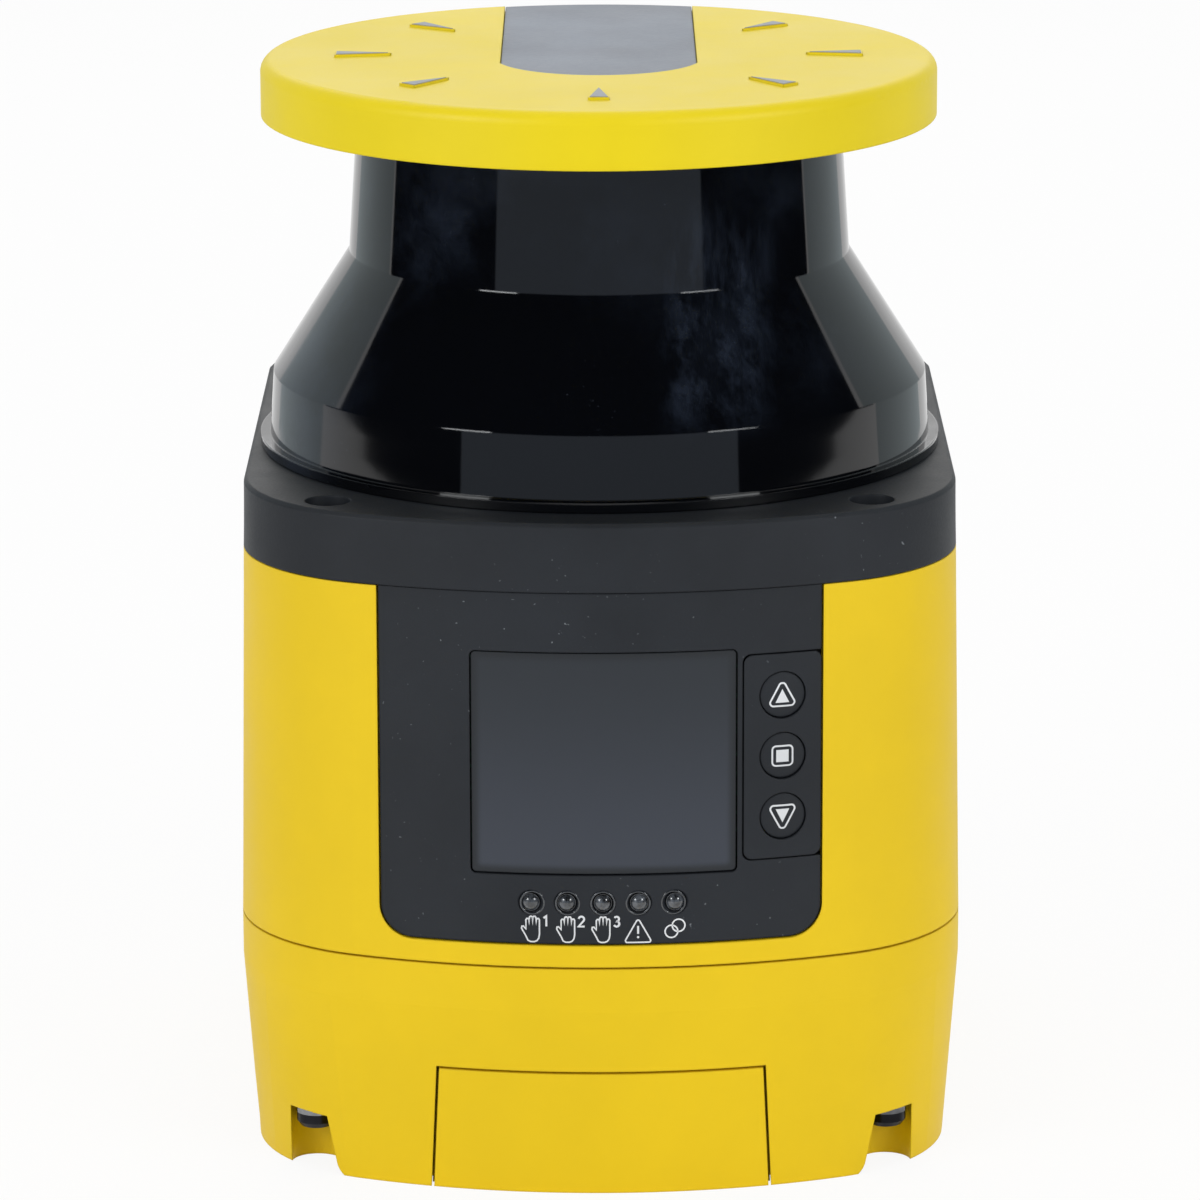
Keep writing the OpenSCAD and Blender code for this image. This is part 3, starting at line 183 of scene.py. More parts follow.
def moulded(name, colour, deep, rough, grain=3200.0, depth=0.12, edge=0.35 * MM, coat=0.0,
            specular=0.25, dust=0.0, clouds=26.0):
    """Moulded or painted surface: cloudy tone, fine eroded grain, uneven gloss, soft edges."""
    f = Finish(name)
    cloud, fine, smear = f.noise(clouds), f.noise(grain, 2), f.noise(clouds * 2.9, 6, 0.65)
    tone = f.ramp(cloud * 0.7 + smear * 0.3, 0.35, 0.7)
    gloss = rough + (smear - 0.5) * 0.22 + (fine - 0.5) * 0.12
    shade = f.blend(tone, deep, colour)
    if dust:
        speck = f.ramp(f.noise(1500, 1), 0.74, 0.8) * f.ramp(cloud, 0.45, 0.65) * dust
        shade = f.blend(speck, shade, linear(150, 156, 162))
    return f.set(Base_Color=shade, Roughness=gloss, Coat_Weight=coat,
                 Coat_Roughness=0.18, Specular_IOR_Level=specular,
                 Normal=f.relief(fine, depth, 0.08 * MM, edge))


def metal(name, colour, deep, rough, stretch=(1.0, 1.0, 30.0), edge=0.0):
    """Turned or drawn metal with fine tool lines."""
    f = Finish(name)
    lines_at = f.out("ShaderNodeMapping", "Vector", {}, {"Vector": f.place, "Scale": stretch})
    lines = f.value("ShaderNodeTexNoise", "Fac", {},
                    {"Vector": lines_at, "Scale": 900.0, "Detail": 3.0})
    cloud = f.noise(120)
    return f.set(Base_Color=f.blend(f.ramp(cloud, 0.3, 0.7), deep, colour), Metallic=1.0,
                 Roughness=rough + (lines - 0.5) * 0.2 + (cloud - 0.5) * 0.12,
                 Normal=f.relief(lines, 0.15, 0.04 * MM, edge))


def window_finish():
    """Polished black window with dust, wiped streaks and a faint bluish film."""
    f = Finish("window_gloss")
    dust, smear, wave = f.noise(2600, 2), f.noise(38, 7, 0.7), f.noise(14, 2)
    drawn_out = f.out("ShaderNodeMapping", "Vector", {}, {"Vector": f.place,
                                                          "Scale": (1.0, 1.0, 0.3)})
    streak = f.value("ShaderNodeTexNoise", "Fac", {},
                     {"Vector": drawn_out, "Scale": 210.0, "Detail": 6.0, "Roughness": 0.7})
    x, z = f.axis("X"), f.axis("Z")
    wiped = (f.ramp(x, 7 * MM, 12 * MM) * (1 - f.ramp(x, 19 * MM, 27 * MM))
             * f.ramp(z, 104 * MM, 113 * MM) * (1 - f.ramp(z, 126 * MM, 140 * MM)))
    film = (f.ramp(smear, 0.4, 0.7) * f.ramp(wave, 0.44, 0.62)).largest(
        wiped * f.ramp(streak, 0.38, 0.72))
    speck = f.ramp(dust, 0.68, 0.8) * f.ramp(smear, 0.42, 0.75)
    tone = f.blend(film * 0.85, linear(5, 6, 9), linear(34, 41, 54))
    return f.set(Base_Color=f.blend(speck * 0.45, tone, linear(84, 90, 102)),
                 Roughness=0.045 + film * 0.1, Coat_Weight=0.0, Specular_IOR_Level=0.5,
                 Normal=f.relief(wave, 0.04, 0.4 * MM, 0.3 * MM))


def screen_finish():
    """Dark display pane with painted light making it a little lighter towards its foot, and a
    darker rim.
    """
    f = Finish("screen_pane")
    low, high = SCREEN_LOW, SCREEN_HIGH
    inward = ((high.x - low.x) / 2 - (f.axis("X") - (low.x + high.x) / 2).absolute())
    upward = ((high.z - low.z) / 2 - (f.axis("Z") - (low.z + high.z) / 2).absolute())
    pane_share = f.ramp(inward, 0.3 * MM, 1.5 * MM) * f.ramp(upward, 0.3 * MM, 1.5 * MM)
    # painted light: the pane is drawn lighter towards its foot and darker towards its top
    up = f.ramp(f.axis("Z"), low.z, high.z)
    cloud = f.noise(40)
    pane = f.blend(up, linear(52, 57, 67), linear(34, 39, 45))
    pane = f.blend(cloud * 0.1, pane, linear(72, 78, 88))
    return f.set(Base_Color=f.blend(pane_share, linear(30, 34, 39), pane),
                 Roughness=0.3 + (cloud - 0.5) * 0.1, Specular_IOR_Level=0.35,
                 Normal=f.relief(f.noise(900, 2), 0.02, 0.03 * MM, 0.2 * MM))


def mark_finish():
    """Yellow sides and a grey printed top."""
    f = Finish("mark_print")
    top = f.axis("Z") > MARK_TOP - 0.1 * MM
    fine = f.noise(3000, 2)
    grey = f.blend(fine, linear(120, 126, 134), linear(142, 148, 156))
    return f.set(Base_Color=f.blend(top, linear(226, 192, 30), grey),
                 Roughness=0.5 + (fine - 0.5) * 0.2, Normal=f.relief(fine, 0.1, 0.04 * MM))


def glass(name, colour, rough):
    """Clear glass with a faint haze."""
    f = Finish(name)
    haze = f.noise(180, 5)
    return f.set(Base_Color=f.blend(haze, colour, linear(235, 240, 246)),
                 Roughness=rough + haze * 0.05, IOR=1.5, Transmission_Weight=0.85,
                 Normal=f.relief(f.noise(700, 2), 0.01, 0.02 * MM))


def board(name):
    """Green circuit board with raised tracks."""
    f = Finish(name)
    cell = f.value("ShaderNodeTexVoronoi", "Distance", {"feature": "DISTANCE_TO_EDGE"},
                   {"Vector": f.place, "Scale": 260.0})
    track = f.ramp(cell, 0.03, 0.07)
    return f.set(Base_Color=f.blend(track, linear(40, 120, 78), linear(16, 72, 44)),
                 Roughness=0.35 + f.noise(300) * 0.15, Normal=f.relief(track, 0.2, 0.03 * MM))


def build_finishes(colours):
    body, cap, dark, insert, ink = (tuple(getattr(colours, name)) for name in (
        "body", "cap", "charcoal", "insert", "ink"))
    return {
        "yellow_paint": moulded("yellow_paint", body, deeper(body, 0.93), 0.5),
        "yellow_plastic": moulded("yellow_plastic", cap, deeper(cap, 0.94), 0.46),
        "charcoal_plastic": moulded("charcoal_plastic", dark, deeper(dark, 0.7),
                                    0.52, 2600.0, 0.18, dust=0.5),
        "grey_plastic": moulded("grey_plastic", insert, deeper(insert, 0.69), 0.55, 1300.0, 0.8),
        "window_plastic": window_finish(),
        "screen_glass": screen_finish(),
        "mark_print": mark_finish(),
        "clear_plastic": moulded("clear_plastic", linear(84, 89, 96), linear(10, 11, 13), 0.12,
                                 900.0, 0.02, 0.0, 1.0, 0.5, clouds=900.0),
        "lamp_socket": moulded("lamp_socket", linear(52, 56, 62), linear(30, 33, 38), 0.2,
                               900.0, 0.05, 0.0, 1.0, 0.5, clouds=300.0),
        "washer_steel": metal("washer_steel", linear(168, 170, 172), linear(60, 61, 64), 0.22),
        "rubber_seal": moulded("rubber_seal", linear(34, 34, 36), linear(22, 22, 24), 0.8,
                               1800.0, 0.4, 0.0),
        "black_screw": metal("black_screw", linear(46, 46, 50), linear(28, 28, 30), 0.32),
        "steel": metal("steel", linear(196, 198, 202), linear(160, 162, 168), 0.3),
        "cast_aluminium": metal("cast_aluminium", linear(204, 206, 210), linear(170, 172, 178),
                                0.42, (1, 1, 1)),
        "iron": metal("iron", linear(92, 92, 96), linear(60, 60, 62), 0.5),
        "brass_parts": metal("brass_parts", linear(222, 186, 106), linear(180, 142, 70), 0.3),
        "mirror_glass": metal("mirror_glass", linear(236, 238, 242), linear(226, 228, 234), 0.04,
                              (1, 1, 1)),
        "lens_glass": glass("lens_glass", linear(200, 214, 228), 0.02),
        "circuit_board": board("circuit_board"),
        "black_component": moulded("black_component", linear(34, 34, 36), linear(22, 22, 24),
                                   0.55, 1800.0, 0.2, 0.0),
        "lamp_chip": moulded("lamp_chip", linear(226, 222, 196), linear(200, 190, 140), 0.5,
                             2400.0, 0.1, 0.0),
        "sign_print": moulded("sign_print", ink, deeper(ink, 0.82), 0.55, 2200.0, 0.05, 0.0),
    }


FINISHES = {}


def dress(node, finish):
    """Gives a solid of the frame its finish."""
    piece = NODES[node]
    if not piece.material_slots:
        piece.data.materials.append(None)
    for place in piece.material_slots:
        place.link = "OBJECT"
        place.material = FINISHES[finish]


# ---------------------------------------------------------------- shapes

SURFACES = {}


def front_of(node, x, z):
    """How far forward a solid's front lies at a sideways place and height."""
    if node not in SURFACES:
        mesh = NODES[node].data
        SURFACES[node] = BVHTree.FromPolygons([v.co for v in mesh.vertices],
                                              [tuple(p.vertices) for p in mesh.polygons])
    hit = SURFACES[node].ray_cast(Vector((x, -0.5, z)), Vector((0, 1, 0)))[0]
    if hit is None:
        raise RuntimeError(f"{node} has no front at {x:.4f}, {z:.4f}")
    return hit.y


def keep_shape(name, shape):
    """Turns a finished shape into a mesh."""
    mesh = bpy.data.meshes.new(name)
    shape.to_mesh(mesh)
    shape.free()
    return mesh


def link_mesh(name, mesh, material):
    """Links an object with one material."""
    made = bpy.data.objects.new(name, mesh)
    bpy.context.scene.collection.objects.link(made)
    mesh.materials.clear()
    mesh.materials.append(material)
    return made


def place_mesh(name, mesh, finish, body):
    """Links a piece, which rides on its body."""
    piece = link_mesh(name, mesh, FINISHES[finish])
    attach(piece, body)


def lift(shape, node, line, rise):
    """Corners that stand a little out of a solid's front, or below it."""
    return [shape.verts.new((x, front_of(node, x, z) - rise, z)) for x, z in line]


def slab(shape, node, loop, step=0.35 * MM):
    """A thin closed plate laid over a solid's front inside a convex outline."""
    middle = sum((Vector(p) for p in loop), Vector((0, 0))) / len(loop)
    reach = max((Vector(p) - middle).length for p in loop)
    count = max(2, math.ceil(reach / step))
    skins = []
    for rise in (PRINT_RISE, -PRINT_RISE):
        rings = []
        for k in range(count, 0, -1):
            ring = [middle.lerp(Vector(p), k / count) for p in loop]
            rings.append(lift(shape, node, ring, rise))
        centre, = lift(shape, node, [middle], rise)
        for outer, inner in zip(rings, rings[1:]):
            for i in range(len(loop)):
                j = (i + 1) % len(loop)
                shape.faces.new((outer[i], outer[j], inner[j], inner[i]))
        for i in range(len(loop)):
            shape.faces.new((rings[-1][i], rings[-1][(i + 1) % len(loop)], centre))
        skins.append(rings[0])
    for i in range(len(loop)):
        j = (i + 1) % len(loop)
        shape.faces.new((skins[0][i], skins[1][i], skins[1][j], skins[0][j]))


def band(shape, node, inner, outer, closed):
    """A thin closed strip laid over a solid's front between two lines of equal length."""
    lines = ([], [])
    count = len(inner)
    for i in range(count if closed else count - 1):
        j = (i + 1) % count
        reach = max((Vector(row[j]) - Vector(row[i])).length for row in (inner, outer))
        parts = max(1, math.ceil(reach / PRINT_STEP))
        for k in range(parts):
            for line, row in zip(lines, (inner, outer)):
                line.append(tuple(Vector(row[i]).lerp(Vector(row[j]), k / parts)))
    if not closed:
        lines[0].append(inner[-1])
        lines[1].append(outer[-1])
    inner, outer, count = lines[0], lines[1], len(lines[0])
    rows = [lift(shape, node, line, rise) for line, rise in (
        (inner, PRINT_RISE), (outer, PRINT_RISE), (outer, -PRINT_RISE), (inner, -PRINT_RISE))]
    for i in range(count if closed else count - 1):
        j = (i + 1) % count
        for a in range(4):
            b = (a + 1) % 4
            shape.faces.new((rows[a][i], rows[a][j], rows[b][j], rows[b][i]))
    if not closed:
        for i in (0, count - 1):
            shape.faces.new([rows[a][i] for a in range(4)])


def offset_lines(points, width, closed):
    """Lines half a width to each side of a path, with mitred corners."""
    inner, outer, count = [], [], len(points)
    for i, point in enumerate(points):
        here = Vector(point)
        before = Vector(points[i - 1]) if closed or i else None
        after = Vector(points[(i + 1) % count]) if closed or i < count - 1 else None
        ways = [(there - then).normalized() for then, there in ((before, here), (here, after))
                if then is not None and there is not None]
        sides = [Vector((-w.y, w.x)) for w in ways]
        side = sum(sides, Vector((0, 0))).normalized()
        reach = width / 2 / max(side.dot(sides[0]), 0.5)
        inner.append(tuple(here - side * reach))
        outer.append(tuple(here + side * reach))
    return inner, outer


def rounded(corners, radius, steps=5):
    """A closed outline with its corners rounded."""
    points, count = [], len(corners)
    for i, corner in enumerate(corners):
        here = Vector(corner)
        a = (Vector(corners[i - 1]) - here).normalized()
        b = (Vector(corners[(i + 1) % count]) - here).normalized()
        half = a.angle(b) / 2
        start, end = here + a * radius / math.tan(half), here + b * radius / math.tan(half)
        centre = here + (a + b).normalized() * radius / math.sin(half)
        first, last = start - centre, end - centre
        for k in range(steps + 1):
            way = first.lerp(last, k / steps).normalized() * radius
            points.append(tuple(centre + way))
    return points


def circle_line(centre, radius, steps=28, start=0.0, turn=360.0):
    whole = abs(turn) >= 360
    count = steps if whole else steps + 1
    return [(centre[0] + radius * math.cos(math.radians(start + turn * k / steps)),
             centre[1] + radius * math.sin(math.radians(start + turn * k / steps)))
            for k in range(count)]


class Sign:
    """Printed sign laid on a solid's front, drawn in millimetres about a centre."""

    def __init__(self, node, x, z, scale=1.0):
        self.node, self.x, self.z, self.scale, self.shape = node, x, z, scale, bmesh.new()

    def world(self, points):
        unit = MM * self.scale
        return [(self.x + x * unit, self.z + z * unit) for x, z in points]

    def fill(self, points):
        slab(self.shape, self.node, self.world(points))

    def line(self, points, width, closed=True):
        inner, outer = offset_lines(points, width / self.scale, closed)
        band(self.shape, self.node, self.world(inner), self.world(outer), closed)

    def done(self, name, body=HOUSING):
        bmesh.ops.recalc_face_normals(self.shape, faces=self.shape.faces)
        place_mesh(name, keep_shape(name, self.shape), "sign_print", body)


def square(half):
    return [(-half, -half), (half, -half), (half, half), (-half, half)]


def spread(points, step):
    """An outline with points added along its long sides."""
    result = []
    for i, point in enumerate(points):
        here, there = Vector(point), Vector(points[(i + 1) % len(points)])
        parts = max(1, math.ceil((there - here).length / step))
        result += [tuple(here.lerp(there, k / parts)) for k in range(parts)]
    return result


def triangle(side, height, up=1):
    return [(-side / 2, -height / 2 * up), (side / 2, -height / 2 * up), (0, height / 2 * up)]


# ---------------------------------------------------------------- geometry nodes

class Shape(Graph):
    """A geometry tree with named inputs."""

    def __init__(self, name, sizes):
        tree = bpy.data.node_groups.new(name, "GeometryNodeTree")
        super().__init__(tree)
        face = tree.interface
        face.new_socket("Geometry", in_out="INPUT", socket_type="NodeSocketGeometry")
        for size, (kind, value) in sizes.items():
            made = face.new_socket(size, in_out="INPUT", socket_type=kind)
            made.default_value = value
        face.new_socket("Geometry", in_out="OUTPUT", socket_type="NodeSocketGeometry")
        self.start = self.node("NodeGroupInput")

    def size(self, name):
        return Value(self, self.start.outputs[name])

    def end(self, geometry, finish):
        real = self.out("GeometryNodeRealizeInstances", 0, {}, {0: geometry})
        painted = self.out("GeometryNodeSetMaterial", 0, {},
                           {"Geometry": real, "Material": FINISHES[finish]})
        self.node("NodeGroupOutput", {}, {0: painted})
        return self.tree


def grow(name, tree, places, finish, slot, **sizes):
    """Runs a geometry tree on a set of places and keeps the result as a plain mesh."""
    mesh = bpy.data.meshes.new(name + "_places")
    mesh.from_pydata([tuple(p) for p in places], [], [])
    seed = bpy.data.objects.new(name + "_places", mesh)
    bpy.context.scene.collection.objects.link(seed)
    modifier = seed.modifiers.new("shape", "NODES")
    modifier.node_group = tree
    for item in tree.interface.items_tree:
        if item.in_out == "INPUT" and item.name in sizes:
            modifier[item.identifier] = sizes[item.name]
    bpy.context.view_layer.update()
    graph = bpy.context.evaluated_depsgraph_get()
    result = bpy.data.meshes.new_from_object(seed.evaluated_get(graph))
    seed.modifiers.remove(modifier)
    bpy.data.objects.remove(seed)
    if not result.polygons:
        raise RuntimeError(f"{name} came out empty")
    result.name = name
    place_mesh(name, result, finish, HOUSING)


def ring_tree(name, finish, turned_forward):
    """Round wires on every place; forward ones follow the curved front."""
    s = Shape(name, {"Ring_Radius": ("NodeSocketFloat", 1.5 * MM),
                     "Wire_Radius": ("NodeSocketFloat", 0.15 * MM),
                     "Front_Radius": ("NodeSocketFloat", 92 * MM),
                     "Turns": ("NodeSocketInt", 1),
                     "Pitch": ("NodeSocketFloat", 1 * MM)})
    circle = s.out("GeometryNodeCurvePrimitiveCircle", 0, {"mode": "RADIUS"},
                   {"Resolution": 40, "Radius": s.size("Ring_Radius").socket})
    wire = s.out("GeometryNodeCurvePrimitiveCircle", 0, {"mode": "RADIUS"},
                 {"Resolution": 8, "Radius": s.size("Wire_Radius").socket})
    ring = s.out("GeometryNodeCurveToMesh", 0, {}, {"Curve": circle, "Profile Curve": wire})
    step = s.out("ShaderNodeCombineXYZ", 0, {}, {"Y": s.size("Pitch")})
    row = s.out("GeometryNodeMeshLine", 0, {"mode": "OFFSET"},
                {"Count": s.size("Turns").socket, "Offset": step})
    upright = (math.pi / 2, 0, 0)
    stack = s.out("GeometryNodeInstanceOnPoints", 0, {},
                  {"Points": row, "Instance": ring, "Rotation": upright})
    inputs = {"Points": s.start.outputs["Geometry"], "Instance": stack}
    if turned_forward:
        place = s.out("GeometryNodeInputPosition", 0)
        x = s.value("ShaderNodeSeparateXYZ", "X", {}, {"Vector": place})
        share = x / s.size("Front_Radius")
        inputs["Rotation"] = s.out("ShaderNodeCombineXYZ", 0, {},
                                   {"Z": share.calc("ARCSINE", share)})
    placed = s.out("GeometryNodeInstanceOnPoints", 0, {}, inputs)
    return s.end(placed, finish)


# ---------------------------------------------------------------- settings

def colour_setting(name, description, *display):
    return bpy.props.FloatVectorProperty(
        name=name, description=description, subtype="COLOR", size=4, min=0.0, max=1.0,
        default=linear(*display))


class ScannerColours(bpy.types.PropertyGroup):
    """Colours of the main finishes."""
    body: colour_setting("Body", "Colour of the painted base and body", 232, 197, 12)
    cap: colour_setting("Cap", "Colour of the cap", 230, 207, 6)
    charcoal: colour_setting("Charcoal", "Colour of the ring, the column and the panel",
                             35, 39, 45)
    insert: colour_setting("Cap insert", "Colour of the insert in the cap", 140, 147, 158)
    ink: colour_setting("Print", "Colour of the printed signs", 226, 229, 233)


class ScannerSigns(bpy.types.PropertyGroup):
    """Printed signs on the panel and keys."""
    key_outline: bpy.props.FloatProperty(
        name="Key outline", description="Width of a key's printed outline, in millimetres",
        default=3.7, min=2.0, max=5.0)
    key_sign_scale: bpy.props.FloatProperty(
        name="Key sign scale", description="Scales the signs on the keys", default=0.86,
        min=0.5, max=1.2)
    line_width: bpy.props.FloatProperty(
        name="Line width", description="Width of printed lines, in millimetres",
        default=0.24, min=0.1, max=0.6)
    lamp_sign_drop: bpy.props.FloatProperty(
        name="Lamp sign drop", description="Distance from a lamp down to its sign",
        default=3.62 * MM, unit="LENGTH")
    lamp_sign_scale: bpy.props.FloatProperty(
        name="Lamp sign scale", description="Scales the signs under the lamps", default=1.26,
        min=0.5, max=1.5)


class ScannerFittings(bpy.types.PropertyGroup):
    """Rims, threads and grips."""
    lamp_rim: bpy.props.FloatProperty(
        name="Lamp rim", description="Radius of the rim round a lamp", default=1.62 * MM,
        unit="LENGTH")
    thread_pitch: bpy.props.FloatProperty(
        name="Thread pitch", description="Pitch of the connector thread", default=1 * MM,
        unit="LENGTH")
    insert_pitch: bpy.props.FloatProperty(
        name="Insert pitch", description="Pitch of the rear insert threads", default=0.8 * MM,
        unit="LENGTH")
    insert_bore: bpy.props.FloatProperty(
        name="Insert bore", description="Radius of the rear insert threads", default=2.1 * MM,
        unit="LENGTH")
    insert_spacing_x: bpy.props.FloatProperty(
        name="Insert spacing across", description="Sideways spacing of the rear inserts",
        default=60 * MM, unit="LENGTH")
    insert_spacing_z: bpy.props.FloatProperty(
        name="Insert spacing up", description="Upright spacing of the rear inserts",
        default=28 * MM, unit="LENGTH")


class ScannerStage(bpy.types.PropertyGroup):
    """Camera and light."""
    focal: bpy.props.FloatProperty(
        name="Focal length", description="Lens of the camera, in millimetres", default=193.06)
    tilt: bpy.props.FloatProperty(
        name="Tilt", description="Camera's downward tilt", default=math.radians(14.2385),
        subtype="ANGLE")
    roll: bpy.props.FloatProperty(
        name="Roll", description="Camera's roll", default=math.radians(-0.138), subtype="ANGLE")
    distance: bpy.props.FloatProperty(
        name="Distance", description="Camera's distance in front of the scan axis",
        default=0.90448, unit="LENGTH")
    height: bpy.props.FloatProperty(
        name="Height", description="Camera's height above the base", default=0.30115,
        unit="LENGTH")
    fill: bpy.props.FloatProperty(
        name="Fill", description="Strength of the surrounding light", default=0.56, min=0, max=2)
    lamp_power: bpy.props.FloatProperty(
        name="Lamp power", description="Scales the soft lamps", default=1.0, min=0, max=5)


# ---------------------------------------------------------------- operators

class ScannerStep:
    """Options of every building step."""
    bl_options = {"REGISTER", "UNDO"}


class SCANNER_OT_finishes(ScannerStep, bpy.types.Operator):
    """Makes every finish and gives each solid of the frame its own"""
    bl_idname = "scanner.finishes"
    bl_label = "Finishes"

    def execute(self, context):
        FINISHES.update(build_finishes(context.scene.scanner_colours))
        for part in frame["record"]["subparts"]:
            dress(part["node"], part["material_slot"])
        dress("cap_marks", "mark_print")
        dress("memory_module", "yellow_paint")
        dress("corner_washers", "washer_steel")
        return {"FINISHED"}


class SCANNER_OT_key_signs(ScannerStep, bpy.types.Operator):
    """Prints an up arrow, a square and a down arrow on the three keys"""
    bl_idname = "scanner.key_signs"
    bl_label = "Key signs"

    def execute(self, context):
        sizes = context.scene.scanner_signs
        side, width = sizes.key_outline, sizes.line_width
        for node, up in (("key_up", 1), ("key_select", 0), ("key_down", -1)):
            sign = Sign(node, key_middle(node), sum(corner.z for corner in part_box(node)) / 2,
                        sizes.key_sign_scale)
            half = side * 0.44
            if up:
                outline = [(x, z + 0.42 * up) for x, z in triangle(side * 1.26, side * 1.2, up)]
                sign.line(rounded(outline, 0.55), width)
                sign.fill(spread([(x, z - 0.1 * up) for x, z in triangle(2.2, 2.25, up)], 0.4))
            else:
                sign.line(rounded(square(half), 0.6), width)
                sign.fill(spread(square(1.0), 0.4))
            sign.done(node + "_sign", node)
        return {"FINISHED"}


def key_middle(node):
    """Sideways place of the middle of a key's front face."""
    axis = Vector(next(j["axis"] for j in frame["record"]["behaviour"]["joints"]
                       if j["child"] == node))
    points = [v.co for v in NODES[node].data.vertices]
    nearest = min(p.dot(axis) for p in points)
    front = [p.x for p in points if p.dot(axis) < nearest + FRONT_SIDE]
    return (min(front) + max(front)) / 2


class SCANNER_OT_lamp_signs(ScannerStep, bpy.types.Operator):
    """Prints a small sign under each of the five lamps"""
    bl_idname = "scanner.lamp_signs"
    bl_label = "Lamp signs"

    def execute(self, context):
        sizes = context.scene.scanner_signs
        width = sizes.line_width * 0.85
        for number, place in enumerate(lamp_places(), 1):
            sign = Sign("display_panel", place.x, place.z - sizes.lamp_sign_drop,
                        sizes.lamp_sign_scale)
            if number <= 3:
                self.hand(sign, width, number)
            elif number == 4:
                self.caution(sign, width)
            else:
                self.links(sign, width)
            sign.done(f"lamp_sign_{number}")
        return {"FINISHED"}

    @staticmethod
    def hand(sign, width, number):
        outline = [(-0.22, -1.56), (-0.5, -1.42), (-0.7, -0.98), (-1.2, -0.08), (-1.16, 0.16),
                   (-0.98, 0.18), (-0.72, -0.14)]
        for finger, top in enumerate((1.05, 1.32, 1.32, 1.08)):
            x = -0.72 + 0.38 * finger
            outline += [(x, top - 0.14), (x + 0.1, top), (x + 0.25, top), (x + 0.34, top - 0.14)]
            outline += [(x + 0.36, 0.42)] if finger < 3 else []
        outline += [(0.76, -0.7), (0.68, -1.16), (0.48, -1.44), (0.2, -1.56)]
        sign.line(outline, width)
        if number == 1:
            strokes = [(-0.34, 0.4), (0.02, 0.7), (0.02, -0.7)]
        elif number == 2:
            strokes = circle_line((0, 0.32), 0.36, 10, 170, -215) + [(-0.36, -0.66), (0.42, -0.66)]
        else:
            strokes = (circle_line((0, 0.34), 0.32, 8, 150, -230)
                       + circle_line((0, -0.32), 0.36, 8, 80, -235))
        sign.line([(1.5 + x * 0.84, 0.8 + z * 0.84) for x, z in strokes], width * 1.35, False)

    @staticmethod
    def caution(sign, width):
        sign.line(rounded([(x, z - 0.22) for x, z in triangle(3.05, 2.75)], 0.2), width)
        sign.line([(0, -0.62), (0, 0.28)], width * 1.35, False)
        sign.fill(circle_line((0, -1.0), 0.13, 10))

    @staticmethod
    def links(sign, width):
        sign.line(circle_line((-0.2, -0.44), 0.7), width)
        sign.line(circle_line((0.58, 0.22), 0.7), width)


def lamp_places():
    """Centre of each lamp at the front of the panel, from the lamps' solids."""
    low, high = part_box("lamp_lenses")
    xs = sorted(v.co.x for v in NODES["lamp_lenses"].data.vertices)
    groups = [[xs[0]]]
    for x in xs[1:]:
        if x - groups[-1][-1] > LAMP_GAP:
            groups.append([])
        groups[-1].append(x)
    z = (low.z + high.z) / 2
    return [Vector(((g[0] + g[-1]) / 2, 0, z)) for g in groups]


class SCANNER_OT_lamp_rims(ScannerStep, bpy.types.Operator):
    """Sets a fine moulded rim round every lamp"""
    bl_idname = "scanner.lamp_rims"
    bl_label = "Lamp rims"

    def execute(self, context):
        sizes = context.scene.scanner_fittings
        tree = ring_tree("lamp_rims", "lamp_socket", True)
        places = []
        for lamp in lamp_places():
            edge = lamp.z + sizes.lamp_rim + 0.3 * MM
            places.append((lamp.x, front_of("display_panel", lamp.x, edge) + 0.05 * MM, lamp.z))
        grow("lamp_rims", tree, places, "lamp_socket", "charcoal_plastic",
             Ring_Radius=sizes.lamp_rim, Wire_Radius=RIM_WIRE)
        return {"FINISHED"}


class SCANNER_OT_threads(ScannerStep, bpy.types.Operator):
    """Cuts the thread turns of the two round connectors"""
    bl_idname = "scanner.threads"
    bl_label = "Connector threads"

    def execute(self, context):
        sizes = context.scene.scanner_fittings
        tree = ring_tree("connector_threads", "steel", False)
        low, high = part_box("connector_shells")
        z = (low.z + high.z) / 2
        mounts = {m["name"]: m for m in frame["record"]["mounts"]}
        y = high.y - (THREAD_TURNS - 0.4) * sizes.thread_pitch
        places = [(mounts[side]["pos_m"][0], y, z) for side in ("connector_left",
                                                                "connector_right")]
        radius = mounts["connector_left"]["dims"]["r_mm"] * MM
        grow("connector_threads", tree, places, "steel", "steel",
             Ring_Radius=radius - 0.12 * MM, Wire_Radius=THREAD_WIRE, Turns=THREAD_TURNS,
             Pitch=sizes.thread_pitch)
        return {"FINISHED"}


class SCANNER_OT_insert_threads(ScannerStep, bpy.types.Operator):
    """Adds the thread turns inside the four rear mounting inserts"""
    bl_idname = "scanner.insert_threads"
    bl_label = "Insert threads"

    def execute(self, context):
        sizes = context.scene.scanner_fittings
        mount = next(m for m in frame["record"]["mounts"] if m["kind"] == "bolt_pattern")
        x, _, z = mount["pos_m"]
        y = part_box("mount_inserts")[1].y - (INSERT_TURNS - 0.3) * sizes.insert_pitch
        wide, tall = sizes.insert_spacing_x / 2, sizes.insert_spacing_z / 2
        places = [(x + i * wide, y, z + k * tall) for i in (-1, 1) for k in (-1, 1)]
        tree = ring_tree("insert_threads", "brass_parts", False)
        grow("insert_threads", tree, places, "brass_parts", "brass_parts",
             Ring_Radius=sizes.insert_bore, Wire_Radius=INSERT_WIRE, Turns=INSERT_TURNS,
             Pitch=sizes.insert_pitch)
        return {"FINISHED"}


